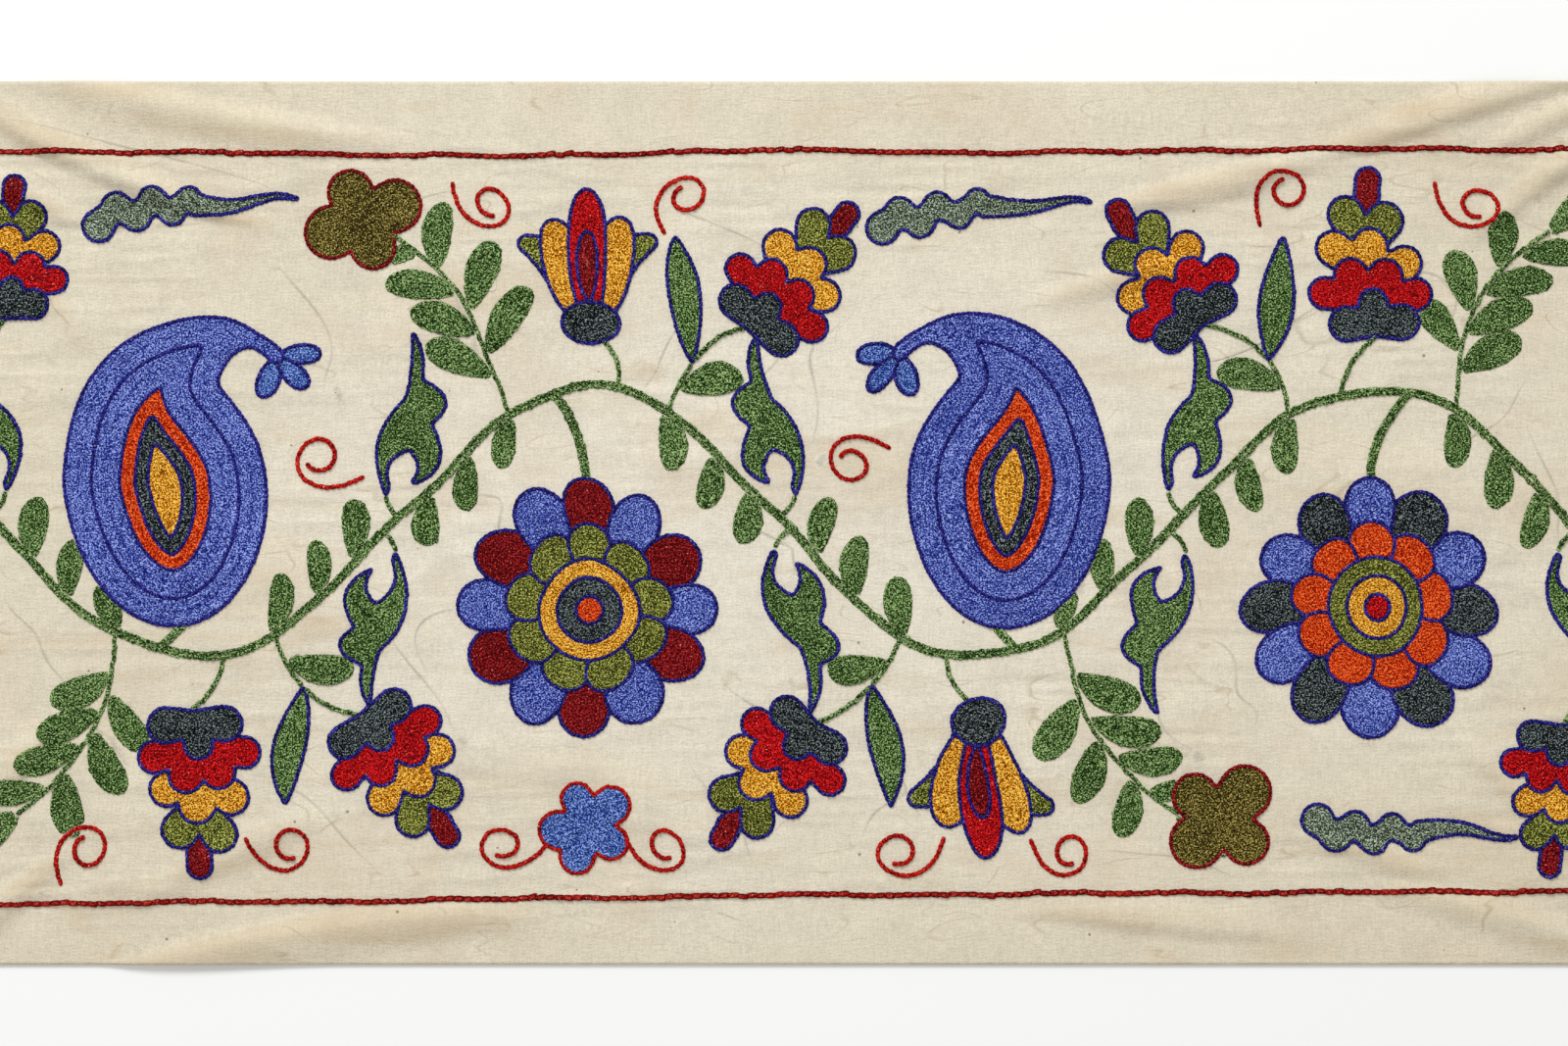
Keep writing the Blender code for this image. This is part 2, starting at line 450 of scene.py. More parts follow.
def tulip(outer, middle, inner, tip, foot):
    """An open flower of five petals on a round foot, 70 mm long."""
    items = []
    for way in (-1, 1):
        path = curve((0, 6), (way * 30, 44), way * 9)
        s = np.linspace(0, 1, len(path))
        items.append(disc_area(path, 4.0 + 7.0 * np.sin(math.pi * s ** 0.7) ** 0.9, outer))
    for way in (-1, 1):
        items.append(outline_area(place(petal(53, 25, 0.5), (way * 2, 6), -way * 17), middle))
    items.append(outline_area(place(petal(64, 22, 0.5), (0, 6)), inner))
    items.append(outline_area(place(petal(34, 12, 0.5), (0, 18)), tip))
    items.append(outline_area(circle(10.5, (0, 8)) * np.array([1.2, 1.0]), foot))
    return items


def small_flower(thread, petals, reach, radius, edge):
    """A small flower of round petals that run together, centred on the origin."""
    angle = 2 * math.pi * np.arange(petals) / petals + 0.3
    size = radius * (1 + 0.10 * np.cos(2 * angle))
    lobes = np.stack([reach * np.cos(angle), reach * np.sin(angle), size], axis=1)
    return [lobed((0, 0), lobes, thread, edge)]


def pod(lobes, length):
    """A pod of lobes that lie by turns to the left and right, then run out into a thin curved tail."""
    discs = []
    for i in range(lobes):
        along = 9 + 9.2 * i
        radius = 7.4 - 0.35 * i
        discs += [(3.0 * (-1) ** i, along, radius), (0.0, along + 4.0, radius * 0.8)]
    tail = curve((0, along + 3), (5, length), 5, 40)
    tail[:, 0] += 4 * np.sin(np.linspace(0, 4.5, len(tail)))
    taper = 0.7 + 4.2 * (1 - np.linspace(0, 1, len(tail))) ** 1.3
    discs = np.concatenate([np.array(discs), np.column_stack([tail, taper])])
    return [Area(None, discs, "heather", "navy")]


# The corners of a leaf, in order round it from its foot, and how far the edge before each bulges to the left
Corner = namedtuple("Corner", "x y bulge")
HOOKED_LEAF = (
    Corner(26, 43, 10),
    Corner(38, 72, -2),
    Corner(37, 48, 3),
    Corner(33, 28, 10),
    Corner(12, 3, 9),
    Corner(18, 20, -4),
    Corner(3.5, 0, -7),
)
LANCE_LEAF = (Corner(5, 58, 7), Corner(0, 0, 8))


def cornered_leaf(corners):
    """Makes a leaf from its corners."""
    path = []
    here = (0, 0)
    for corner in corners:
        path.append(curve(here, corner[:2], corner.bulge, 12)[:-1])
        here = corner[:2]
    return [outline_area(np.concatenate(path), "green")]


def scroll(length, turns):
    """A line that winds up at one end, about the origin."""
    u = np.linspace(0.0, 1.0, 120)
    heading = 2 * math.pi * turns * u ** 1.7
    step = length / (len(u) - 1)
    path = np.stack([np.cumsum(np.sin(heading)), np.cumsum(np.cos(heading))], axis=1) * step
    middle = path[len(u) // 2:].mean(axis=0)
    return [Line(path - middle, "red", "scroll", 1)]


def plain_leaf(length, at, turn, bend=0.0):
    """A leaf with a narrow foot and a round end, without an outline."""
    shape = petal(length, 0.55 * length, 0.75)
    shape[:, 0] += bend * np.sin(math.pi * shape[:, 1] / length)
    return outline_area(place(shape, at, turn), "green", None)


def spray(start, end, bow, count, size, first=1, tip=True):
    """A stem with plain leaves by turns on both sides, and one at its end."""
    path = curve(start, end, bow, 40)
    way = headings(path)
    items = []
    for i in range(count):
        at = int((0.18 + 0.76 * i / count) * (len(path) - 1))
        side = first if i % 2 == 0 else -first
        length = size * (1.04 - 0.16 * i / count)
        items.append(plain_leaf(length, path[at], turn_of(way[at]) + side * (52 - 8 * i / count), side * 1.6))
    if tip:
        items.append(plain_leaf(size, path[-1] - 3 * way[-1], turn_of(way[-1])))
    items.append(Line(path, "green", "stem", 1))
    return items


# The main stem is a wave: its height to each side, its length, the middle of its first bend, its steepest
# slope, and how far it runs to each side of the middle of the cloth
VINE_HEIGHT = 62
VINE_LENGTH = 360
VINE_START = -270
VINE_SLOPE = 1.08
VINE_END = 376


def vine_height(x):
    """Gives the height of the main stem along the cloth."""
    return -VINE_HEIGHT * np.cos(2 * math.pi * (x - VINE_START) / VINE_LENGTH)


def vine_leaf(x):
    """A plain leaf that grows from the main stem to the inner side of a bend, x from the bend's middle."""
    # The stem's wave is 360 mm long, so a millimetre along it is a degree of the wave
    angle = math.radians(x)
    slope = math.degrees(math.atan(VINE_SLOPE * math.sin(abs(angle))))
    way = 1 if x > 0 else -1
    return plain_leaf(28, (x, -VINE_HEIGHT * math.cos(angle)), way * (slope - 42), way * 1.5)


# Layout

# One row for each bend of the main stem: its middle, which way it opens, and what fills it
Bend = namedtuple("Bend", "x side flip")
BENDS = (Bend(-270, 1, 1), Bend(-90, -1, 1), Bend(90, 1, -1), Bend(270, -1, -1))

# The threads of the rosettes, by bend: those of each ring of petals by turns, then those of the discs
ROSETTES = {
    1: ((("maroon", "blue"), ("olive",)), ("ochre", "slate", "orange")),
    3: ((("blue", "slate"), ("orange",)), ("olive", "ochre", "crimson")),
}


def bend_items(index):
    """Gives the motifs of one bend, drawn as if it opened upwards about the origin."""
    items = []
    at_an_end = index in (0, 3)
    # Outer side: a flower, a spray of leaves, and a spray that ends in a fan flower
    items += spray((36, -50), (78, -90), -9, 1, 30, 1, False)
    items += move(cornered_leaf(LANCE_LEAF), (48, -73), 179)
    items += spray((-36, -50), (-80 if at_an_end else -92, -134), 11, 7, 33, -1)
    items.append(Line(curve((14, -60), (0, -86), 4), "green", "stem", 1))
    items += move(fan_flower(), (75, -86), 214, size=0.86)
    if not at_an_end:
        items += move(tulip("olive", "ochre", "crimson", "maroon", "slate"), (0, -84), 180)
    else:
        items += move(fan_flower(), (0, -83), 184, -1, size=0.90)
    # Inner side: hooked leaves and small leaves beside the large motif
    for way in (-1, 1):
        items.append(Line(curve((way * 94, 3), (way * 86, 14), way * 2), "green", "stem", 1))
        items += move(cornered_leaf(HOOKED_LEAF), (way * 86, 13), way * 17, way, 0.92)
        for x in (34, 56, 74):
            items.append(vine_leaf(way * x))
    items.append(Line(curve((-16, -60), (0, -20), -5), "green", "stem", 2))
    # The large motif
    if index % 2 == 0:
        items += move(boteh(154, 46, 150), (-9, -26))
    else:
        items += move(rosette(59, 12, *ROSETTES[index]), (0, 39))
    return items


# Single pieces in the spaces between the large ones
Piece = namedtuple("Piece", "kind x y turn flip")
PIECES = (
    Piece("pod", -326, 139, -84, 1),
    Piece("scroll", -318, -150, 20, 1),
    Piece("scroll", -228, -148, 200, -1),
    Piece("brown flower", -194, 140, 8, 1),
    Piece("scroll", -130, -146, 150, 1),
    Piece("sky flower", -92, -140, 20, 1),
    Piece("scroll", -54, -148, 200, -1),
    Piece("scroll", -43, 150, 30, 1),
    Piece("scroll", -134, 146, 190, -1),
    Piece("pod", 36, 140, -86, 1),
    Piece("scroll", 52, -150, 160, 1),
    Piece("scroll", 132, -148, 200, -1),
    Piece("brown flower", 200, -136, 30, 1),
    Piece("pod", 234, -138, -94, -1),
    Piece("scroll", 232, 150, 10, 1),
    Piece("scroll", 318, 148, 190, -1),
    Piece("scroll", -212, 30, 120, 1),
    Piece("scroll", 30, 24, 60, -1),
)


def piece_items(kind):
    """Gives the items of one kind of single piece."""
    if kind == "pod":
        return pod(6, 104)
    if kind == "scroll":
        return scroll(78, 1.25)
    if kind == "sky flower":
        return small_flower("sky", 5, 14, 8.0, "red")
    return small_flower("brown", 4, 15, 11.0, "maroon")


def by_hand(points):
    """Shifts plan points a little, smoothly, as a pattern drawn by hand departs from the ruler."""
    x, y = points[:, 0], points[:, 1]
    dx = 1.5 * np.sin(x / 27 + y / 19) + 0.9 * np.sin(y / 11 - x / 17 + 1.9)
    dy = 1.4 * np.sin(x / 21 - y / 31 + 0.7) + 0.9 * np.sin(x / 12 + y / 15 + 4.0)
    return points + np.stack([dx, dy], axis=1)


def layout():
    """Gives every area and line of the design, from the lowest to the uppermost."""
    items = end_pieces()
    for index, bend in enumerate(BENDS):
        drawn = move(bend_items(index), flip=bend.flip)
        if bend.side < 0:
            drawn = over(drawn)
        items += move(drawn, (bend.x, 0))
    for piece in PIECES:
        items += move(piece_items(piece.kind), (piece.x, piece.y), piece.turn, piece.flip)
    x = np.linspace(-VINE_END, VINE_END, 260)
    items.append(Line(np.stack([x, vine_height(x)], axis=1), "green", "stem", 2))
    return [reshaped(item, by_hand) for item in items] + borders()


def end_pieces():
    """Gives the pieces that fill the spaces at both ends."""
    end = []
    end.append(Line(curve((-374, 14), (-356, 96), 8), "green", "stem", 1))
    end.append(plain_leaf(26, (-373, 24), 20))
    end += move(fan_flower(), (-355, 92), -4, size=0.78)
    return end + move(end, turn=180)


def border_line(points, count=240):
    """Gives a smooth path through the points of a border line, a little uneven as a hand draws it."""
    points = np.asarray(points, float)
    x = np.linspace(points[0, 0], points[-1, 0], count)
    y = np.interp(x, points[:, 0], points[:, 1])
    reach = 12
    window = 2 * reach + 1
    soft = np.convolve(np.pad(y, reach, mode="edge"), np.full(window, 1 / window), mode="valid")
    waver = 0.35 * np.sin(x * 0.11) + 0.25 * np.sin(x * 0.047 + 1.3)
    return np.stack([x, soft + waver], axis=1)


def borders():
    """Gives the four red border lines."""
    top = border_line(BORDER_TOP)
    bottom = border_line(BORDER_BOTTOM)
    sides = []
    for end in (0, -1):
        t = np.linspace(0, 1, 90)[:, None]
        path = bottom[end] + (top[end] - bottom[end]) * t
        path[:, 0] += 0.5 * np.sin(9 * t[:, 0])
        sides.append(path)
    return [Line(path, "carmine", "border", 1) for path in (top, bottom, *sides)]


# Distances in plan

def squared_distance(start, end, x, y):
    """Gives the squared distance of points from a straight stretch."""
    ex, ey = end[0] - start[0], end[1] - start[1]
    wx, wy = x - start[0], y - start[1]
    share = np.clip((wx * ex + wy * ey) / (ex * ex + ey * ey + 1e-12), 0, 1)
    return (wx - share * ex) ** 2 + (wy - share * ey) ** 2


def path_distance(path, x, y):
    """Gives the distance of points from an open path."""
    best = np.full(x.shape, np.inf)
    for start, end in zip(path[:-1], path[1:]):
        best = np.minimum(best, squared_distance(start, end, x, y))
    return np.sqrt(best)


def outline_distance(corners, x, y):
    """Gives the distance of points from a closed outline, negative inside it."""
    best = np.full(x.shape, np.inf)
    inside = np.zeros(x.shape, bool)
    for start, end in zip(corners, np.roll(corners, -1, axis=0)):
        best = np.minimum(best, squared_distance(start, end, x, y))
        rise = end[1] - start[1]
        if rise:
            crossing = (y - start[1]) * (end[0] - start[0]) / rise
            inside ^= ((start[1] <= y) != (end[1] <= y)) & (x - start[0] < crossing)
    return np.where(inside, -1.0, 1.0) * np.sqrt(best)


def discs_distance(discs, x, y):
    """Gives the distance of points from the edge of a string of discs, negative inside it."""
    best = np.full(x.shape, np.inf)
    for cx, cy, radius in discs:
        best = np.minimum(best, np.hypot(x - cx, y - cy) - radius)
    return best


def item_distance(item, x, y):
    """Gives the distance of points from an area or line, negative inside it."""
    if isinstance(item, Line):
        return path_distance(item.path, x, y) - 0.5 * line_width(item)
    if item.discs is not None:
        return discs_distance(item.discs, x, y)
    return outline_distance(item.corners, x, y)


def line_width(line):
    """Gives the full width of the rows of a line."""
    return STITCHES[line.stitch].width + (line.rows - 1) * STITCHES[line.stitch].pitch


def item_box(item):
    """Gives the lowest and highest corner of an area or line."""
    if isinstance(item, Line):
        reach = 0.5 * line_width(item)
        return item.path.min(axis=0) - reach, item.path.max(axis=0) + reach
    if item.discs is not None:
        reach = item.discs[:, 2:]
        return (item.discs[:, :2] - reach).min(axis=0), (item.discs[:, :2] + reach).max(axis=0)
    return item.corners.min(axis=0), item.corners.max(axis=0)


def edge_reach(item):
    """Gives how far the outline stitches reach to each side of an item's edge."""
    if isinstance(item, Line) or item.edge is None:
        return 0.0
    return EDGE_SHARE * STITCHES["outline"].width


def covers_of(items, boxes, index, margin=1.5):
    """Gives the later items that may lie over one item."""
    low, high = boxes[index]
    found = []
    for other in range(index + 1, len(items)):
        olow, ohigh = boxes[other]
        if (olow < high + margin).all() and (ohigh > low - margin).all():
            found.append(items[other])
    return found


def level_lines(field, level, low, step):
    """Traces the lines on which a field, held at grid points, takes one value."""
    f = field - level
    f = np.where(np.abs(f) < 1e-9, 1e-9, f)
    inside = f < 0
    corner = inside[:-1, :-1] * 1 + inside[:-1, 1:] * 2 + inside[1:, 1:] * 4 + inside[1:, :-1] * 8
    width = f.shape[1]
    links = {}

    def join(a, b):
        links.setdefault(a, []).append(b)
        links.setdefault(b, []).append(a)

    for j, i in zip(*np.nonzero((corner > 0) & (corner < 15))):
        case = corner[j, i]
        south = (j * width + i) * 2
        north = ((j + 1) * width + i) * 2
        west = (j * width + i) * 2 + 1
        east = (j * width + i + 1) * 2 + 1
        crossed = []
        if inside[j, i] != inside[j, i + 1]:
            crossed.append(south)
        if inside[j, i + 1] != inside[j + 1, i + 1]:
            crossed.append(east)
        if inside[j + 1, i] != inside[j + 1, i + 1]:
            crossed.append(north)
        if inside[j, i] != inside[j + 1, i]:
            crossed.append(west)
        # In a saddle, the middle of the cell tells which sides join
        if case in (5, 10):
            middle = f[j, i] + f[j, i + 1] + f[j + 1, i] + f[j + 1, i + 1] < 0
            if middle == (case == 5):
                join(south, east)
                join(north, west)
            else:
                join(south, west)
                join(north, east)
        else:
            join(crossed[0], crossed[1])

    def position(key):
        cell, upright = divmod(key, 2)
        j, i = divmod(cell, width)
        a = f[j, i]
        b = f[j + 1, i] if upright else f[j, i + 1]
        share = a / (a - b)
        if upright:
            return low[0] + step * i, low[1] + step * (j + share)
        return low[0] + step * (i + share), low[1] + step * j

    lines = []
    used = set()
    for first in sorted(links, key=lambda key: (len(links[key]), key)):
        if first in used:
            continue
        run = [first]
        used.add(first)
        here = first
        while True:
            onward = [key for key in links[here] if key not in used]
            if not onward:
                break
            here = onward[0]
            used.add(here)
            run.append(here)
        closed = len(run) > 2 and first in links[run[-1]]
        points = np.array([position(key) for key in run])
        if closed:
            points = np.concatenate([points, points[:1]])
        lines.append(points)
    return lines


def resample(path, spacing, least=1):
    """Gives points at an even spacing near the one asked for."""
    step = np.hypot(*np.diff(path, axis=0).T)
    along = np.concatenate([[0.0], np.cumsum(step)])
    count = max(least, int(round(along[-1] / spacing)))
    at = np.linspace(0.0, along[-1], count + 1)
    return np.stack([np.interp(at, along, path[:, 0]), np.interp(at, along, path[:, 1])], axis=1)


# Stitches in plan

class Stitching:
    """Holds the links of one thread: where each starts and ends, its stitch and its tone."""

    def __init__(self):
        self.links = {name: {kind: [] for kind in STITCHES} for name in THREAD_NAMES}
        self.under = {name: [] for name in THREAD_NAMES}

    def add_path(self, thread, kind, path, tone, least=1):
        """Adds the links of one row."""
        points = resample(path, STITCHES[kind].length, least)
        if len(points) > 1:
            block = np.column_stack([points[:-1], points[1:], np.full(len(points) - 1, tone)])
            self.links[thread][kind].append(block)

    def add_under(self, thread, path, half):
        """Adds a flat ribbon of thread, so that no bare cloth shows beside a row."""
        points = resample(path, STITCHES["fill"].length)
        ribbon = np.column_stack([points[:-1], points[1:], np.full(len(points) - 1, half)])
        has_length = np.hypot(*np.diff(points, axis=0).T) > 0.1
        self.under[thread].append(ribbon[has_length])
        # A small ring leaves its middle bare, so a patch covers it
        if len(points) < SMALL_RING:
            x, y = path.mean(axis=0)
            back, front, half = MIDDLE_PATCH
            self.under[thread].append(np.array([[x + back, y, x + front, y, half]]))

    def add_patches(self, thread, first, points):
        """Adds a small patch at each of the points that no ribbon since the first one named reaches."""
        bare = points
        for ax, ay, bx, by, half in np.concatenate(self.under[thread][first:] or [np.zeros((0, 5))]):
            length = math.hypot(bx - ax, by - ay) + 1e-9
            along = ((bare[:, 0] - ax) * (bx - ax) + (bare[:, 1] - ay) * (by - ay)) / length
            aside = ((bare[:, 1] - ay) * (bx - ax) - (bare[:, 0] - ax) * (by - ay)) / length
            bare = bare[(along < 0.0) | (along > length + 0.2) | (np.abs(aside) > half)]
        if len(bare):
            reach = np.array([PATCH_REACH, 0.0])
            half = np.full(len(bare), PATCH_HALF)
            self.under[thread].append(np.column_stack([bare - reach, bare + 0.5 * reach, half]))


def open_runs(path, covers):
    """Splits a path into the runs that no later area hides."""
    free = np.ones(len(path), bool)
    for cover in covers:
        if isinstance(cover, Line):
            continue
        low, high = item_box(cover)
        near = ((path > low - 1) & (path < high + 1)).all(axis=1)
        if near.any():
            free[np.nonzero(near)[0][item_distance(cover, path[near, 0], path[near, 1]) < CLEARANCE]] = False
    runs = []
    start = None
    for i, ok in enumerate(free):
        if ok and start is None:
            start = i
        if not ok and start is not None:
            if i - start >= LEAST_RUN:
                runs.append(path[start:i])
            start = None
    if start is not None and len(path) - start >= LEAST_RUN:
        runs.append(path[start:])
    if len(runs) > 1 and free[0] and free[-1] and np.allclose(path[0], path[-1]):
        runs = runs[1:-1] + [np.concatenate([runs[-1], runs[0][1:]])]
    return runs


def thread_tone(rng):
    """Gives how light one length of thread lies."""
    return rng.normal(0.5, 0.05)


def stitch_area(stitching, item, covers, rng):
    """Fills an area with rows that echo its edge, and works its outline."""
    low, high = item_box(item)
    margin = 1.7 * GRID_STEP
    low = low - margin
    count = np.ceil((high + margin - low) / GRID_STEP).astype(int) + 1
    gx, gy = np.meshgrid(low[0] + GRID_STEP * np.arange(count[0]), low[1] + GRID_STEP * np.arange(count[1]))
    own = item_distance(item, gx, gy)
    field = own + edge_reach(item)
    for cover in covers:
        field = np.maximum(field, edge_reach(cover) - item_distance(cover, gx, gy))
    # The inner rows waver by 0.2 mm, as rows that are laid by eye do
    phase = rng.uniform(0, 6.28, 4)
    waver = np.sin(gx * 0.31 + gy * 0.13 + phase[0]) + np.sin(gy * 0.37 - gx * 0.17 + phase[1])
    field = field + 0.10 * waver * np.clip(-field / 2.0, 0, 1)
    depth = -field.min()
    tone = thread_tone(rng)
    first = len(stitching.under[item.thread])
    full_pitch = STITCHES["fill"].pitch
    if depth > 0.35 * full_pitch:
        rows = max(1, int(round(depth / full_pitch)))
        pitch = depth / rows
        for row in range(rows):
            for line in level_lines(field, -(row + 0.5) * pitch, low, GRID_STEP):
                length = np.hypot(*np.diff(line, axis=0).T).sum()
                if length > LEAST_RING:
                    least = 2 if length > TWO_LINK_RING else 1
                    stitching.add_path(item.thread, "fill", line, tone, least)
                    past = UNDERLAY_OVERLAP if row or item.edge else -UNDERLAY_INSET
                    stitching.add_under(item.thread, line, 0.5 * pitch + past)
            for line in level_lines(field, -(row + 1.0) * pitch, low, GRID_STEP):
                stitching.add_under(item.thread, line, 0.5 * pitch + UNDERLAY_OVERLAP)
    # Two narrow ribbons close the gap between the filling and its outline
    if item.edge is not None:
        for level in (-0.1, -0.5):
            for line in level_lines(field, level, low, GRID_STEP):
                stitching.add_under(item.thread, line, 0.6)
    inner = field < (-0.2 if item.edge else -0.6)
    stitching.add_patches(item.thread, first, np.stack([gx[inner], gy[inner]], axis=1))
    if item.edge is not None:
        for line in level_lines(own, 0.0, low, GRID_STEP):
            for run in open_runs(resample(line, GRID_STEP), covers):
                stitching.add_path(item.edge, "outline", run, thread_tone(rng))


def stitch_line(stitching, item, covers, rng):
    """Works the rows of a line."""
    path = resample(item.path, GRID_STEP)
    way = headings(path)
    left = np.stack([-way[:, 1], way[:, 0]], axis=1)
    for row in range(item.rows):
        offset = (row - 0.5 * (item.rows - 1)) * STITCHES[item.stitch].pitch
        for run in open_runs(path + left * offset, covers):
            stitching.add_path(item.thread, item.stitch, run, thread_tone(rng))


# Heights of the cloth

def fold_field(fold, x, y):
    """Gives the rise of one fold in millimetres, exactly zero outside it."""
    start = np.array(fold.start, float)
    chord = np.array(fold.end, float) - start
    length = np.hypot(*chord)
    along = chord / length
    t = ((x - start[0]) * along[0] + (y - start[1]) * along[1]) / length
    on = (t > 0) & (t < 1)
    t = np.clip(t, 0, 1)
    side = (y - start[1]) * along[0] - (x - start[0]) * along[1] - 4 * fold.bow * t * (1 - t)
    share = side / (fold.reach * (0.55 + 0.45 * np.sin(math.pi * t)))
    on &= np.abs(share) < 1
    beyond = share - fold.lean
    room = np.where(beyond > 0, 1 - fold.lean, 1 + fold.lean)
    profile = np.cos(0.5 * math.pi * np.clip(beyond / room, -1, 1)) ** 2
    return np.where(on, fold.height * np.sin(math.pi * t) ** 0.8 * profile, 0.0)


def fold_lift(x, y):
    """Gives the height of the underside over the floor, with the folds blended where they meet."""
    return np.sqrt(sum(fold_field(fold, x, y) ** 2 for fold in FOLDS))


def soft_noise(shape, cell, rng):
    """Gives smooth noise about zero on a grid, with features of the given number of cells in y and x."""
    rows = int(shape[0] / cell[0]) + 4
    columns = int(shape[1] / cell[1]) + 4
    coarse = rng.normal(0, 1, (rows, columns))
    y = np.arange(shape[0]) / cell[0]
    x = np.arange(shape[1]) / cell[1]
    y0, x0 = y.astype(int), x.astype(int)
    ty, tx = y - y0, x - x0
    ty = (ty * ty * (3 - 2 * ty))[:, None]
    tx = (tx * tx * (3 - 2 * tx))[None, :]
    a = coarse[np.ix_(y0, x0)]
    b = coarse[np.ix_(y0, x0 + 1)]
    c = coarse[np.ix_(y0 + 1, x0)]
    d = coarse[np.ix_(y0 + 1, x0 + 1)]
    return a * (1 - ty) * (1 - tx) + b * (1 - ty) * tx + c * ty * (1 - tx) + d * ty * tx


class Ground:
    """Holds the height of the cloth's upper side on a grid, in millimetres."""

    def __init__(self, length, width, thickness, pucker, items):
        self.length = length
        self.width = width
        self.thickness = thickness
        self.nx = int(round(length / GROUND_STEP_X))
        self.ny = int(round(width / GROUND_STEP_Y))
        self.x = np.linspace(-length / 2, length / 2, self.nx + 1)
        self.y = np.linspace(-width / 2, width / 2, self.ny + 1)
        gx, gy = np.meshgrid(self.x, self.y)
        lift = fold_lift(gx, gy)
        rng = np.random.default_rng(GROUND_SEED)
        fine = soft_noise(gx.shape, FINE_CELLS, rng)
        long = soft_noise(gx.shape, LONG_CELLS, rng)
        broad = soft_noise(gx.shape, BROAD_CELLS, rng)
        # Puckers are full a little way from the stitches, and fade beyond
        gap = self.stitch_gap(items, gx, gy)
        beside = np.where(gap < 0, 0.15, 0.15 + 0.85 * np.clip(gap / PUCKER_FULL, 0, 1))
        near = beside * np.exp(-np.clip(gap, 0, None) / PUCKER_FADE)
        ridge = np.exp(-(long / 0.26) ** 2)
        ripple = (0.45 * fine + 1.1 * (ridge - 0.25)) * (0.6 + 0.4 * np.clip(broad, -1, 1.5))
        rim = np.clip(np.minimum(length / 2 - np.abs(gx), width / 2 - np.abs(gy)) / PUCKER_RIM, 0, 1)
        relief = pucker * ripple * near * rim + 0.10 * broad * rim
        self.top = lift + thickness + np.maximum(relief, -0.5 * thickness)
        # Painted shade lies along the folds, in streaks, and painted shade greys the sharpest puckers
        self.dirt = np.clip(lift / 1.8, 0, 1) * np.clip(0.7 + 0.6 * long, 0, 1)
        self.crease_shade = ridge ** 2 * near * rim * np.clip(0.5 + broad, 0, 1)
        # Dense stitches press the cloth down under them
        self.pressed = 0.35 * np.clip((-gap - 2.0) / 2.0, 0, 1)

    def stitch_gap(self, items, gx, gy):
        """Gives about how far each grid point lies from the nearest stitches, negative under them."""
        gap = np.full(gx.shape, 60.0)
        for item in items:
            if isinstance(item, Line) and item.stitch == "border":
                continue
            low, high = item_box(item)
            i0, i1 = np.searchsorted(self.x, (low[0] - PUCKER_REACH, high[0] + PUCKER_REACH))
            j0, j1 = np.searchsorted(self.y, (low[1] - PUCKER_REACH, high[1] + PUCKER_REACH))
            part = (slice(j0, j1), slice(i0, i1))
            centre = 0.5 * (low + high)
            half = 0.5 * (high - low)
            # Long lines are measured at every third point, and small pieces as discs, which is near enough
            if gx[part].size > 6000 and isinstance(item, Line):
                away = path_distance(item.path[::3], gx[part], gy[part])
            elif half.max() < 24:
                away = np.hypot(gx[part] - centre[0], gy[part] - centre[1]) - half.mean()
            else:
                away = item_distance(item, gx[part], gy[part])
            gap[part] = np.minimum(gap[part], away)
        return gap

    def height(self, x, y):
        """Gives the height of the upper side at points, in millimetres."""
        u = np.clip((x + self.length / 2) / self.length * self.nx, 0, self.nx - 1e-6)
        v = np.clip((y + self.width / 2) / self.width * self.ny, 0, self.ny - 1e-6)
        i, j = u.astype(int), v.astype(int)
        s, t = u - i, v - j
        top = self.top
        low = top[j, i] * (1 - s) + top[j, i + 1] * s
        high = top[j + 1, i] * (1 - s) + top[j + 1, i + 1] * s
        return low * (1 - t) + high * t


# Meshes

def make_piece(name, verts, faces, material, uv, **marks):
    """Makes a mesh piece that rides on the cloth, from points in millimetres, with a value for each point."""
    mesh = bpy.data.meshes.new(name)
    sizes = np.fromiter(map(len, faces), np.int32)
    loops = np.fromiter(itertools.chain.from_iterable(faces), np.int32)
    mesh.vertices.add(len(verts))
    mesh.vertices.foreach_set("co", (np.asarray(verts, np.float32) * MM).ravel())
    mesh.loops.add(len(loops))
    mesh.loops.foreach_set("vertex_index", loops)
    mesh.polygons.add(len(sizes))
    mesh.polygons.foreach_set("loop_start", np.concatenate([[0], np.cumsum(sizes)[:-1]]).astype(np.int32))
    mesh.polygons.foreach_set("use_smooth", np.ones(len(sizes), bool))
    mesh.update(calc_edges=True)
    for attribute, values in marks.items():
        mesh.attributes.new(attribute, "FLOAT", "POINT").data.foreach_set("value", values.astype(np.float32))
    mesh.uv_layers.new(name="OFBake").data.foreach_set("uv", uv[loops].astype(np.float32).ravel())
    mesh.materials.append(material)
    obj = bpy.data.objects.new(name, mesh)
    bpy.context.scene.collection.objects.link(obj)
    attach(obj, "root")
    return obj


def plan_uv(verts, settings, upper=False):
    """Gives a map from above for the bake: rows in its lower half, and what lies under them in its upper."""
    u = verts[:, 0] / (settings.length / MM) + 0.5
    v = verts[:, 1] / (settings.width / MM) + 0.5
    return np.stack([u, 0.5 * v + (0.5 if upper else 0.0)], axis=1)


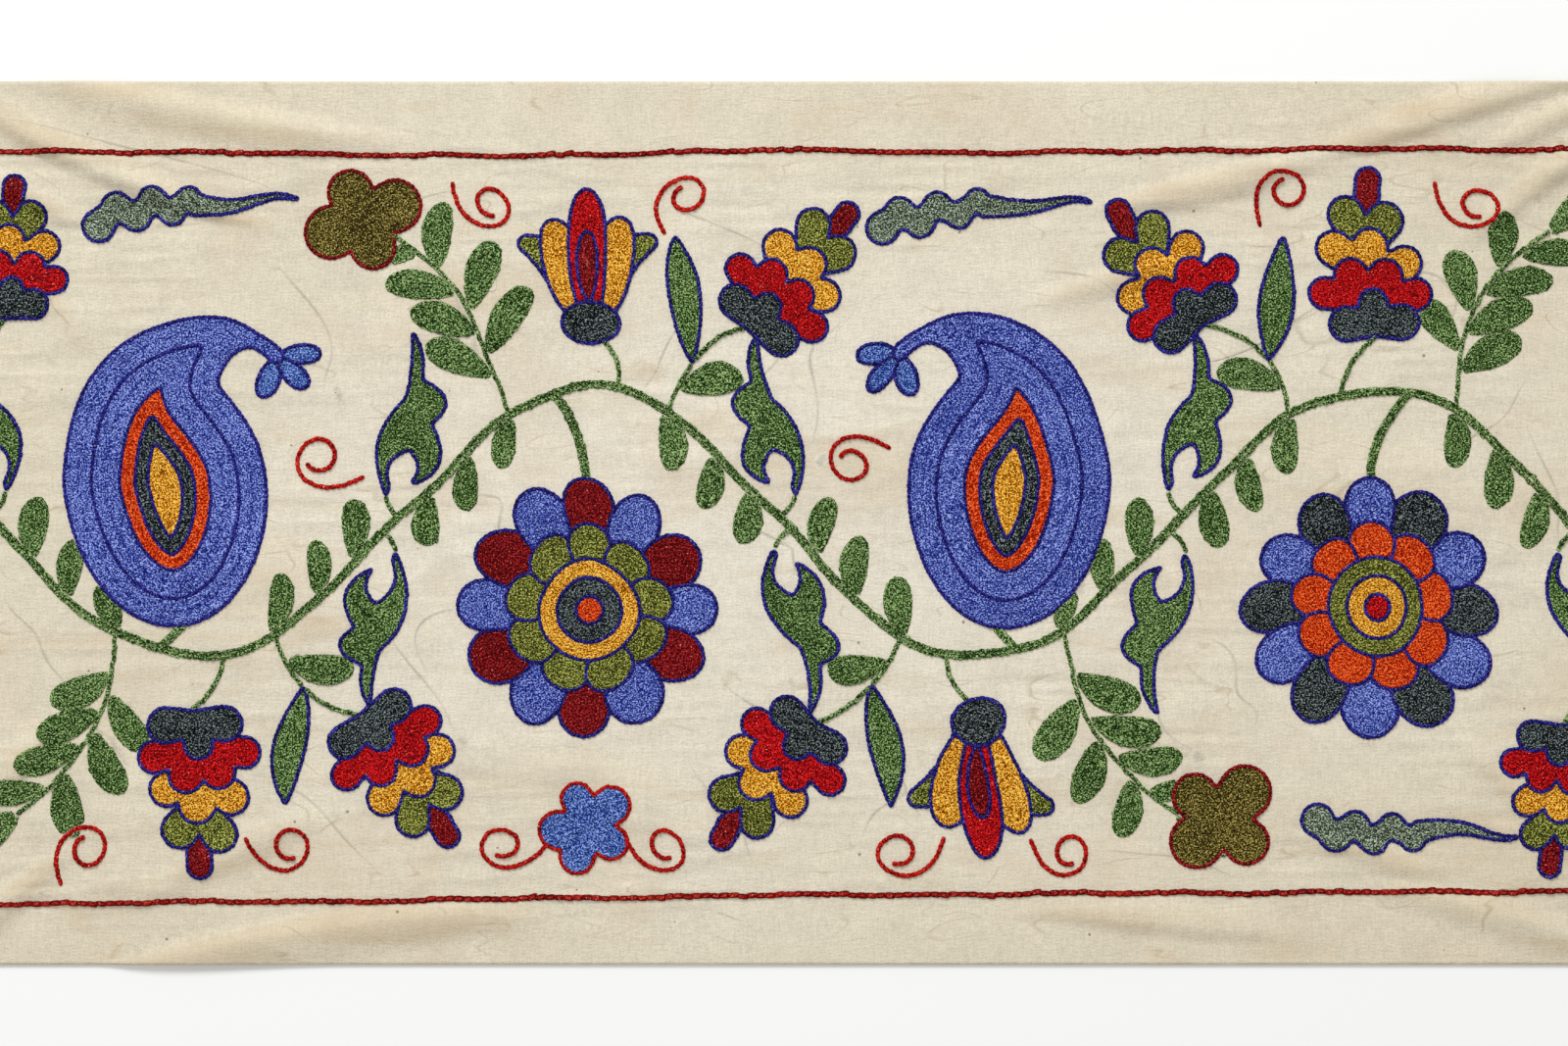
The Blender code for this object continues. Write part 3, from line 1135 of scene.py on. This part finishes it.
def link_points(blocks, stitch, ground, rng):
    """Gives the points, faces and tones of all the links of one stitch in one thread."""
    rows = np.concatenate(blocks)
    start, end, tone = rows[:, 0:2], rows[:, 2:4], rows[:, 4]
    count = len(rows)
    spread = stitch.spread
    chord = end - start
    length = np.hypot(chord[:, 0], chord[:, 1]) + 1e-9
    along = chord / length[:, None]
    turn = rng.normal(0, UNEVEN.turn * spread, count)
    along = np.stack([along[:, 0] - turn * along[:, 1], along[:, 1] + turn * along[:, 0]], axis=1)
    left = np.stack([-along[:, 1], along[:, 0]], axis=1)
    width = 0.5 * stitch.width * rng.normal(1.0, UNEVEN.width * spread, count)
    height = stitch.height * rng.normal(1.0, UNEVEN.height, count)
    shift = rng.normal(0, UNEVEN.shift * spread, count)
    strands = rng.normal(0, UNEVEN.strand * spread, (count, 2))
    link_tone = tone + stitch.tone - 0.5 + rng.normal(0, UNEVEN.tone * spread, count)
    points, tones = [], []
    for share, half, crest, groove in stitch.sections:
        for across, shade in ACROSS:
            rise = -SIDE_DEPTH if abs(across) == 1 else (groove if across == 0 else crest)
            # Painted shade runs as a dark eye the whole length of the link's groove, and a painted highlight
            # shows as a light eye only in its middle
            if across == 0 and (stitch.eye < 0 or 0.2 < share < 0.8):
                shade += stitch.eye
            # Painted shade on the tail, under the head of the link before
            if share < 0:
                shade -= TAIL_SHADE
            strand = strands[:, 0] if across < 0 else (strands[:, 1] if across > 0 else 0.0)
            flat = start + along * (share * length)[:, None] + left * (across * half * width + shift)[:, None]
            points.append(np.column_stack([flat, ground.height(*flat.T) + rise * height]))
            tones.append(link_tone + (shade + strand))
    # The faces run from each section to the next, strip by strip
    wide = len(ACROSS)
    quads = []
    for section in range(len(stitch.sections) - 1):
        for a in range(section * wide, section * wide + wide - 1):
            quads.append((a, a + wide, a + wide + 1, a + 1))
    faces = (np.arange(count) * len(points))[:, None, None] + np.array(quads)[None]
    points = np.stack(points, axis=1).reshape(-1, 3)
    return points, faces.reshape(-1, 4), np.clip(np.stack(tones, axis=1), 0.0, 1.0).ravel()


def back_thread_points(ground):
    """Gives the low ridges that the threads on the back raise in the cloth, and how grey each point is."""
    points, faces, tones = [], [], []
    total = 0
    for number, thread in enumerate(BACK_THREADS):
        path = resample(curve(thread.start, thread.end, thread.bow), 1.0)
        u = np.linspace(0, 1, len(path))
        path = path + thread.curl * np.stack([np.sin(9 * u + number), np.cos(7 * u + 2 * number)], axis=1)
        way = headings(path)
        side = np.stack([-way[:, 1], way[:, 0]], axis=1) * RIDGE_HALF * thread.width
        taper = np.sin(math.pi * np.clip(u, 0, 1)) ** 0.4
        strip, greys = [], []
        for across, lift in ((-1, 0.0), (-0.3, 1.0), (0.3, 1.0), (1, 0.0)):
            flat = path + side * across * (0.4 + 0.6 * taper)[:, None]
            z = ground.height(flat[:, 0], flat[:, 1]) + RIDGE_LIFT + RIDGE_RISE * lift * taper
            strip.append(np.column_stack([flat, z]))
            greys.append(lift * taper * (0.75 + 0.25 * np.sin(14 * u + number)))
        index = total + np.arange(len(path) * 4).reshape(-1, 4)
        for k in range(3):
            faces.append(np.stack([index[:-1, k + 1], index[:-1, k], index[1:, k], index[1:, k + 1]], axis=1))
        points.append(np.stack(strip, axis=1).reshape(-1, 3))
        tones.append(np.stack(greys, axis=1).ravel())
        total += len(path) * 4
    return np.concatenate(points), np.concatenate(faces), np.concatenate(tones)


def underlay_points(blocks, ground):
    """Gives the flat ribbons under the rows of one thread."""
    rows = np.concatenate(blocks)
    start, end, half = rows[:, 0:2], rows[:, 2:4], rows[:, 4:5]
    along = (end - start) / (np.hypot(*(end - start).T)[:, None] + 1e-9)
    left = np.stack([-along[:, 1], along[:, 0]], axis=1) * half
    flat = np.stack([start + left, start - left, end + 0.3 * along - left, end + 0.3 * along + left], axis=1)
    flat = flat.reshape(-1, 2)
    z = ground.height(flat[:, 0], flat[:, 1]) + UNDERLAY_LIFT
    return np.column_stack([flat, z]), np.arange(len(flat)).reshape(-1, 4)


# Materials

# Sockets that go by number: 1 and 2 of a map range are the ends of its first range, 3 and 4 those of the
# second, and 0, 6 and 7 of a colour mix are its share and its two colours
def add_node(tree, kind, inputs=None, **settings):
    """Adds a shader node, sets its options and fills or links its inputs."""
    node = tree.nodes.new("ShaderNode" + kind)
    for name, value in settings.items():
        setattr(node, name, value)
    for name, value in (inputs or {}).items():
        if isinstance(value, bpy.types.NodeSocket):
            tree.links.new(value, node.inputs[name])
        else:
            node.inputs[name].default_value = value
    return node


def new_material(name):
    """Makes an empty material and gives it with its tree and shader."""
    material = bpy.data.materials.new(name)
    material.use_nodes = True
    tree = material.node_tree
    return material, tree, tree.nodes["Principled BSDF"]


def thread_material(thread):
    """Stranded cotton, mercerised and dyed in the yarn: its shine and shade are painted, as flecks of
    highlight and shade on each loop.
    """
    material, tree, shader = new_material("stranded_cotton_" + thread.name)
    where = add_node(tree, "TexCoord").outputs["Object"]
    tone = add_node(tree, "Attribute", attribute_name="tone").outputs["Fac"]
    # A strand is 0.3 mm thick, drawn here 0.7 mm thick so that it shows
    strands = add_node(tree, "TexNoise", {"Vector": where, "Scale": 1400.0, "Detail": 1.0}).outputs["Fac"]
    # The strands are flecked with painted highlight and painted shade
    ends = {1: 0.35, 2: 0.65, 3: -thread.fleck, 4: thread.fleck}
    fleck = add_node(tree, "MapRange", {"Value": strands, **ends})
    # Lots of thread that took the dye a little differently, about 18 mm across
    lots = add_node(tree, "TexNoise", {"Vector": where, "Scale": 55.0, "Detail": 2.0}).outputs["Fac"]
    dye = add_node(tree, "MapRange", {"Value": lots, 1: 0.3, 2: 0.7, 3: -0.10, 4: 0.10})
    # The tone and the flecks take each point from the painted shade colour through the middle one to the
    # painted highlight colour
    first = add_node(tree, "Math", {0: tone, 1: fleck.outputs[0]}, operation="ADD")
    total = add_node(tree, "Math", {0: first.outputs[0], 1: dye.outputs[0]}, operation="ADD").outputs[0]
    lower = add_node(tree, "MapRange", {"Value": total, 1: 0.0, 2: 0.45, 3: 0.0, 4: 1.0}).outputs[0]
    upper = add_node(tree, "MapRange", {"Value": total, 1: 0.60, 2: 1.05, 3: 0.0, 4: 1.0}).outputs[0]
    # Loose fibres and gaps between the links, as rare pale flecks
    rare = add_node(tree, "MapRange", {"Value": strands, 1: 0.72, 2: 0.78, 3: 0.0, 4: 0.75}).outputs[0]
    colour = (*linear(thread.shade), 1)
    for share, code in ((lower, thread.middle), (upper, thread.shine), (rare, "#e6dcc4")):
        inputs = {0: share, 6: colour, 7: (*linear(code), 1)}
        colour = add_node(tree, "Mix", inputs, data_type="RGBA").outputs[2]
    tree.links.new(colour, shader.inputs["Base Color"])
    gloss = add_node(tree, "MapRange", {"Value": strands, 1: 0.3, 2: 0.7, 3: 0.62, 4: 0.38})
    tree.links.new(gloss.outputs[0], shader.inputs["Roughness"])
    bump = add_node(tree, "Bump", {"Strength": 0.6, "Distance": 0.0002, "Height": strands})
    tree.links.new(bump.outputs[0], shader.inputs["Normal"])
    shader.inputs["Specular IOR Level"].default_value = 0.06
    shader.inputs["IOR"].default_value = 1.5
    return material


def weave(tree, where):
    """Gives the relief of handwoven cotton, from streaks along both yarns and their nap."""
    # Yarns are 0.5 mm apart, drawn here as streaks 1 mm wide and 4 to 6 mm long so that they show
    streaks = []
    for scale in ((1000.0, 170.0, 170.0), (230.0, 1000.0, 230.0)):
        yarn = add_node(tree, "Mapping", {"Vector": where, "Scale": scale}).outputs[0]
        streak = add_node(tree, "TexNoise", {"Vector": yarn, "Scale": 1.0, "Detail": 1.0})
        streaks.append(streak.outputs["Fac"])
    both = add_node(tree, "Math", {0: streaks[0], 1: streaks[1]}, operation="ADD").outputs[0]
    # The nap of the yarns, about 0.9 mm across
    nap = add_node(tree, "TexNoise", {"Vector": where, "Scale": 1150.0, "Detail": 1.0}).outputs["Fac"]
    return add_node(tree, "Math", {0: nap, 1: 1.6, 2: both}, operation="MULTIPLY_ADD").outputs[0]


def soft_crease_shade(tree, where):
    """Gives painted shade along soft creases, some 90 mm long, and along the folds."""
    stretched = add_node(tree, "Mapping", {"Vector": where, "Scale": (11.0, 44.0, 1.0)}).outputs[0]
    inputs = {"Vector": stretched, "Scale": 1.0, "Detail": 3.0, "Distortion": 1.0}
    soft = add_node(tree, "TexNoise", inputs).outputs["Fac"]
    held = add_node(tree, "MapRange", {"Value": soft, 1: 0.57, 2: 0.76, 3: 0.0, 4: 0.30}).outputs[0]
    dirt = add_node(tree, "Attribute", attribute_name="dirt").outputs["Fac"]
    return add_node(tree, "Math", {0: dirt, 1: 0.34, 2: held}, operation="MULTIPLY_ADD").outputs[0]


def sharp_crease_shade(tree, where, blotch):
    """Gives painted shade where sharp creases run, 0.8 mm wide: along the middle value of a stretched noise,
    in patches.
    """
    stretched = add_node(tree, "Mapping", {"Vector": where, "Scale": (17.0, 52.0, 1.0)}).outputs[0]
    inputs = {"Vector": stretched, "Scale": 1.0, "Detail": 1.0, "Distortion": 0.7}
    fine = add_node(tree, "TexNoise", inputs).outputs["Fac"]
    off = add_node(tree, "Math", {0: fine, 1: 0.5}, operation="SUBTRACT").outputs[0]
    away = add_node(tree, "Math", {0: off}, operation="ABSOLUTE").outputs[0]
    line = add_node(tree, "MapRange", {"Value": away, 1: 0.0, 2: 0.012, 3: 1.0, 4: 0.0}).outputs[0]
    patches = add_node(tree, "MapRange", {"Value": blotch, 1: 0.48, 2: 0.62, 3: 0.0, 4: 0.42}).outputs[0]
    return add_node(tree, "Math", {0: line, 1: patches}, operation="MULTIPLY").outputs[0]


def seed_flecks(tree, where):
    """Gives where flecks of cotton seed lie, up to 1.8 mm across."""
    cells = add_node(tree, "TexVoronoi", {"Vector": where, "Scale": 85.0})
    chance = add_node(tree, "SeparateColor", {0: cells.outputs["Color"]}).outputs[0]
    size = add_node(tree, "MapRange", {"Value": chance, 1: 0.50, 2: 1.0, 3: 0.0, 4: 0.075}).outputs[0]
    spot = add_node(tree, "Math", {0: cells.outputs["Distance"], 1: size}, operation="LESS_THAN").outputs[0]
    return add_node(tree, "Math", {0: spot, 1: 0.65}, operation="MULTIPLY").outputs[0]


def cotton_material(settings):
    """Unbleached cotton, handwoven: matt and creamy, with uneven yarns, seed flecks, a margin yellower and
    darker than the middle, and painted shade along its creases and folds.
    """
    material, tree, shader = new_material("unbleached_cotton_cloth")
    where = add_node(tree, "TexCoord").outputs["Object"]
    broad = add_node(tree, "TexNoise", {"Vector": where, "Scale": 7.0, "Detail": 3.0}).outputs["Fac"]
    blotch = add_node(tree, "TexNoise", {"Vector": where, "Scale": 48.0, "Detail": 5.0}).outputs["Fac"]
    woven = weave(tree, where)
    # The margin is yellower than the middle
    spread = add_node(tree, "Mapping", {"Vector": where, "Scale": (2.3, 4.6, 0.0)}).outputs[0]
    reach = add_node(tree, "VectorMath", {0: spread}, operation="LENGTH").outputs["Value"]
    wander = add_node(tree, "Math", {0: broad, 1: 0.9, 2: reach}, operation="MULTIPLY_ADD").outputs[0]
    margin_share = add_node(tree, "MapRange", {"Value": wander, 1: 0.65, 2: 1.55, 3: 0.0, 4: 1.0}).outputs[0]
    ends = {0: margin_share, 6: (*settings.middle_colour, 1), 7: (*settings.margin_colour, 1)}
    base = add_node(tree, "Mix", ends, data_type="RGBA").outputs[2]
    cast = add_node(tree, "MapRange", {"Value": woven, 1: 1.3, 2: 2.3, 3: 0.87, 4: 1.11}).outputs[0]
    patchy = add_node(tree, "MapRange", {"Value": blotch, 1: 0.3, 2: 0.7, 3: 0.95, 4: 1.045}).outputs[0]
    light = add_node(tree, "Math", {0: cast, 1: patchy}, operation="MULTIPLY").outputs[0]
    colour = add_node(tree, "VectorMath", {0: base, "Scale": light}, operation="SCALE").outputs[0]
    # Dye that has bled a little, as faint warm clouds some 60 mm across
    inputs = {"Vector": where, "Scale": 16.0, "Detail": 3.0, "Distortion": 0.6}
    cloud = add_node(tree, "TexNoise", inputs).outputs["Fac"]
    bled = add_node(tree, "MapRange", {"Value": cloud, 1: 0.56, 2: 0.76, 3: 0.0, 4: 0.34}).outputs[0]
    # Threads on the back show through grey, and painted shade greys the sharp puckers, where the tone
    # attribute is high
    grey = add_node(tree, "Attribute", attribute_name="tone").outputs["Fac"]
    shown = add_node(tree, "Math", {0: grey, 1: 0.60}, operation="MULTIPLY").outputs[0]
    layers = (
        (bled, "#cdb294"),
        (soft_crease_shade(tree, where), "#c4a980"),
        (sharp_crease_shade(tree, where, blotch), "#a08a64"),
        (seed_flecks(tree, where), "#5e4c34"),
        (shown, "#a49b8c"),
    )
    for share, code in layers:
        inputs = {0: share, 6: colour, 7: (*linear(code), 1)}
        colour = add_node(tree, "Mix", inputs, data_type="RGBA").outputs[2]
    tree.links.new(colour, shader.inputs["Base Color"])
    rough = add_node(tree, "MapRange", {"Value": woven, 1: 1.3, 2: 2.3, 3: 0.96, 4: 0.84})
    tree.links.new(rough.outputs[0], shader.inputs["Roughness"])
    bump = add_node(tree, "Bump", {"Strength": 0.5, "Distance": 0.0003, "Height": woven})
    tree.links.new(bump.outputs[0], shader.inputs["Normal"])
    shader.inputs["Sheen Weight"].default_value = 0.08
    shader.inputs["Sheen Roughness"].default_value = 0.6
    return material


def floor_material(settings):
    """Emulsion paint on a smooth board: matt white, with a faint roller texture."""
    material, tree, shader = new_material("white_emulsion_paint")
    where = add_node(tree, "TexCoord").outputs["Object"]
    roller = add_node(tree, "TexNoise", {"Vector": where, "Scale": 220.0, "Detail": 3.0}).outputs["Fac"]
    rough = add_node(tree, "MapRange", {"Value": roller, 3: 0.8, 4: 0.95})
    tree.links.new(rough.outputs[0], shader.inputs["Roughness"])
    bump = add_node(tree, "Bump", {"Strength": 0.05, "Distance": 0.0002, "Height": roller})
    tree.links.new(bump.outputs[0], shader.inputs["Normal"])
    shader.inputs["Base Color"].default_value = (*settings.floor_colour, 1)
    return material


# Settings

class SuzaniClothSettings(bpy.types.PropertyGroup):
    """Sizes and colours of the ground cloth."""

    length: bpy.props.FloatProperty(
        name="Length",
        description="Length of the cloth",
        default=CAD_BOX[1][0] - CAD_BOX[0][0],
        unit="LENGTH",
    )
    width: bpy.props.FloatProperty(
        name="Width",
        description="Width of the cloth",
        default=CAD_BOX[1][1] - CAD_BOX[0][1],
        unit="LENGTH",
    )
    thickness: bpy.props.FloatProperty(
        name="Thickness",
        description="Thickness of the cloth with its threads",
        default=0.0010,
        unit="LENGTH",
    )
    pucker: bpy.props.FloatProperty(
        name="Pucker",
        description="Height of the puckers between the stitches",
        default=0.00062,
        unit="LENGTH",
    )
    middle_colour: bpy.props.FloatVectorProperty(
        name="Middle",
        description="Colour of the cotton in the middle",
        default=linear("#e2dac8"),
        subtype="COLOR",
    )
    margin_colour: bpy.props.FloatVectorProperty(
        name="Margin",
        description="Colour of the cotton at its edges",
        default=linear("#d8cdb5"),
        subtype="COLOR",
    )


class SuzaniStageSettings(bpy.types.PropertyGroup):
    """The floor, light and camera."""

    camera_height: bpy.props.FloatProperty(
        name="Camera height",
        description="Height of the camera over the cloth",
        default=1.70,
        unit="LENGTH",
    )
    lens: bpy.props.FloatProperty(
        name="Lens",
        description="Focal length of the lens",
        default=85.0,
        unit="CAMERA",
    )
    key_power: bpy.props.FloatProperty(
        name="Key light",
        description="Power of the large soft light",
        default=116.0,
        unit="POWER",
    )
    sky: bpy.props.FloatProperty(
        name="Room light",
        description="Strength of the light from all round",
        default=0.635,
    )
    floor_colour: bpy.props.FloatVectorProperty(
        name="Floor",
        description="Colour of the floor",
        default=linear("#f7f7f6"),
        subtype="COLOR",
    )


# The stitching and the ground are worked out once, for all the operators
DRAWN = {}


def drawn():
    """Gives the ground and the stitching, worked out once."""
    if DRAWN:
        return DRAWN
    settings = bpy.context.scene.suzani_cloth
    items = layout()
    boxes = [item_box(item) for item in items]
    rng = np.random.default_rng(ROW_SEED)
    stitching = Stitching()
    for index, item in enumerate(items):
        covers = covers_of(items, boxes, index)
        if isinstance(item, Line):
            stitch_line(stitching, item, covers, rng)
        else:
            stitch_area(stitching, item, covers, rng)
    DRAWN["stitching"] = stitching
    DRAWN["ground"] = Ground(
        settings.length / MM, settings.width / MM, settings.thickness / MM, settings.pucker / MM, items
    )
    return DRAWN


def build_thread_piece(name, kinds, piece):
    """Makes the piece worked in one thread with the given stitches."""
    settings = bpy.context.scene.suzani_cloth
    stitching, ground = drawn()["stitching"], drawn()["ground"]
    number = THREAD_NAMES.index(name)
    rng = np.random.default_rng(LINK_SEED + number)
    parts = []
    for kind in kinds:
        blocks = stitching.links[name][kind]
        if blocks:
            points, quads, tones = link_points(blocks, STITCHES[kind], ground, rng)
            parts.append((points, quads, tones, plan_uv(points, settings)))
    if stitching.under[name]:
        points, quads = underlay_points(stitching.under[name], ground)
        # The ribbons lie dark, as painted shade between the rows
        tones = np.full(len(points), UNDERLAY_SHADE)
        parts.append((points, quads, tones, plan_uv(points, settings, True)))
    if not parts:
        raise RuntimeError(f"no stitches were worked in {name}")
    starts = np.cumsum([0] + [len(part[0]) for part in parts[:-1]])
    faces = np.concatenate([part[1] + start for part, start in zip(parts, starts)])
    verts, tones, uv = (np.concatenate([part[k] for part in parts]) for k in (0, 2, 3))
    make_piece(piece, verts, faces, thread_material(THREADS[number]), uv, tone=tones)


# Operators

class SUZANI_OT_cloth(bpy.types.Operator):
    """Make the ground cloth with its folds and puckers"""

    bl_idname = "suzani.cloth"
    bl_label = "Ground cloth"

    def execute(self, context):
        settings = context.scene.suzani_cloth
        ground = drawn()["ground"]
        gx, gy = np.meshgrid(ground.x, ground.y)
        top = np.column_stack([gx.ravel(), gy.ravel(), (ground.top - ground.pressed).ravel()])
        index = np.arange(gx.size).reshape(gx.shape)
        quads = np.stack([index[:-1, :-1], index[:-1, 1:], index[1:, 1:], index[1:, :-1]], axis=-1)
        rim = np.concatenate([index[0, :-1], index[:-1, -1], index[-1, :0:-1], index[:0:-1, 0]])
        # The underside has the same rim, and fewer points inside it
        inner_x, inner_y = np.meshgrid(ground.x[2:-2:2], ground.y[4:-4:5])
        flat = np.concatenate([top[rim, :2], np.column_stack([inner_x.ravel(), inner_y.ravel()])])
        edges = [(i, (i + 1) % len(rim)) for i in range(len(rim))]
        plan, _, tris = delaunay_2d_cdt([Vector(p) for p in flat], edges, [], 0, 1e-4, False)[:3]
        if len(plan) != len(flat):
            raise RuntimeError("the underside lost points")
        plan = np.array([tuple(p) for p in plan])
        under = np.column_stack([plan, fold_lift(plan[:, 0], plan[:, 1])])
        base = len(top)
        faces = [tuple(quad) for quad in quads.reshape(-1, 4)]
        for a, b, c in tris:
            area = np.cross(plan[b] - plan[a], plan[c] - plan[a])
            faces.append((base + a, base + c, base + b) if area > 0 else (base + a, base + b, base + c))
        for i, j in edges:
            faces.append((base + i, base + j, rim[j], rim[i]))
        verts = np.concatenate([top, under])
        uv = np.concatenate([plan_uv(top, settings), plan_uv(under, settings, True)])
        plain = np.zeros(len(under))
        # Painted shade greys the sharpest puckers through the tone attribute, and the underside gets none
        greys = np.concatenate([0.34 * ground.crease_shade.ravel(), plain])
        # Painted shade along the folds
        dirt = np.concatenate([ground.dirt.ravel(), plain])
        cotton = cotton_material(settings)
        cloth = make_piece("ground_cloth", verts, faces, cotton, uv, tone=greys, dirt=dirt)
        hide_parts("cloth_panel")
        verts, faces, greys = back_thread_points(ground)
        make_piece("back_thread_ridges", verts, faces, cotton, plan_uv(verts, settings), tone=greys)
        return {"FINISHED"}


class SUZANI_OT_filling(bpy.types.Operator):
    """Work the filled areas and stems, one piece for each thread"""

    bl_idname = "suzani.filling"
    bl_label = "Filled areas"

    def execute(self, context):
        for thread in THREADS:
            if thread.name not in LINE_THREADS:
                build_thread_piece(thread.name, ("fill", "stem", "outline"), "filling_" + thread.name)
        return {"FINISHED"}


class SUZANI_OT_outlines(bpy.types.Operator):
    """Work the navy and red outlines and scrolls"""

    bl_idname = "suzani.outlines"
    bl_label = "Outlines and scrolls"

    def execute(self, context):
        build_thread_piece("navy", ("outline",), "outlines_navy")
        build_thread_piece("red", ("outline", "scroll"), "outlines_red")
        return {"FINISHED"}


class SUZANI_OT_border(bpy.types.Operator):
    """Work the heavy red border lines"""

    bl_idname = "suzani.border"
    bl_label = "Border lines"

    def execute(self, context):
        build_thread_piece("carmine", ("border",), "border_lines")
        return {"FINISHED"}


# The stage, in metres: a floor just under the cloth, and in a warm room a large cool light, far beyond the
# far edge of the cloth and a little to the left
FLOOR_HALF = 3.0
FLOOR_GAP = 0.0004
KEY_PLACE = (-1.0, 3.0, 2.6)
KEY_SIZE = (1.9, 1.4)
KEY_COLOUR = (0.955, 0.985, 1.0)
ROOM_COLOUR = (1.0, 0.990, 0.975)


class SUZANI_OT_stage(bpy.types.Operator):
    """Make the floor, the light and the camera"""

    bl_idname = "suzani.stage"
    bl_label = "Floor, light and camera"

    def execute(self, context):
        settings = context.scene.suzani_stage
        scene = context.scene
        mesh = bpy.data.meshes.new("floor")
        corners = ((-1, -1), (1, -1), (1, 1), (-1, 1))
        verts = [(FLOOR_HALF * x, FLOOR_HALF * y, -FLOOR_GAP) for x, y in corners]
        mesh.from_pydata(verts, [], [(0, 1, 2, 3)])
        mesh.materials.append(floor_material(settings))
        floor = bpy.data.objects.new("floor", mesh)
        scene.collection.objects.link(floor)
        world = bpy.data.worlds.new("room")
        world.use_nodes = True
        background = world.node_tree.nodes["Background"]
        background.inputs["Color"].default_value = (*ROOM_COLOUR, 1.0)
        background.inputs["Strength"].default_value = settings.sky
        scene.world = world
        light = bpy.data.lights.new("key", "AREA")
        light.shape = "RECTANGLE"
        light.size, light.size_y = KEY_SIZE
        light.color = KEY_COLOUR
        light.energy = settings.key_power
        key = bpy.data.objects.new("key", light)
        key.location = KEY_PLACE
        key.rotation_mode = "QUATERNION"
        key.rotation_quaternion = Vector(key.location).to_track_quat("Z", "Y")
        scene.collection.objects.link(key)
        data = bpy.data.cameras.new("camera")
        data.lens = settings.lens
        data.sensor_width = 36.0
        camera = bpy.data.objects.new("camera", data)
        camera.location = (0.0, 0.0, settings.camera_height)
        scene.collection.objects.link(camera)
        scene.camera = camera
        scene.view_settings.view_transform = "Standard"
        return {"FINISHED"}


class SUZANI_OT_declare(bpy.types.Operator):
    bl_idname = "suzani.declare"
    bl_label = "Laid sheet"

    def execute(self, context):
        return {"FINISHED"}


class SUZANI_PT_panel(bpy.types.Panel):
    """The steps and sizes of the suzani cloth"""

    bl_label = "Suzani cloth"
    bl_idname = "SUZANI_PT_panel"
    bl_space_type = "VIEW_3D"
    bl_region_type = "UI"
    bl_category = "Suzani"

    def draw(self, context):
        for operator in OPERATORS:
            self.layout.operator(operator.bl_idname)
        for group in (context.scene.suzani_cloth, context.scene.suzani_stage):
            box = self.layout.box()
            for name in group.__annotations__:
                box.prop(group, name)


OPERATORS = (
    SUZANI_OT_cloth,
    SUZANI_OT_filling,
    SUZANI_OT_outlines,
    SUZANI_OT_border,
    SUZANI_OT_stage,
    SUZANI_OT_declare,
)
CLASSES = (SuzaniClothSettings, SuzaniStageSettings, *OPERATORS, SUZANI_PT_panel)


def register():
    """Registers the classes and adds their settings to the scene."""
    for item in CLASSES:
        bpy.utils.register_class(item)
    bpy.types.Scene.suzani_cloth = bpy.props.PointerProperty(type=SuzaniClothSettings)
    bpy.types.Scene.suzani_stage = bpy.props.PointerProperty(type=SuzaniStageSettings)


def unregister():
    """Removes the settings and the classes."""
    del bpy.types.Scene.suzani_stage
    del bpy.types.Scene.suzani_cloth
    for item in reversed(CLASSES):
        bpy.utils.unregister_class(item)


def main():
    """Builds every piece in order."""
    register()
    bpy.ops.suzani.cloth()
    bpy.ops.suzani.filling()
    bpy.ops.suzani.outlines()
    bpy.ops.suzani.border()
    bpy.ops.suzani.stage()
    bpy.ops.suzani.declare()


if __name__ == "__main__":
    main()
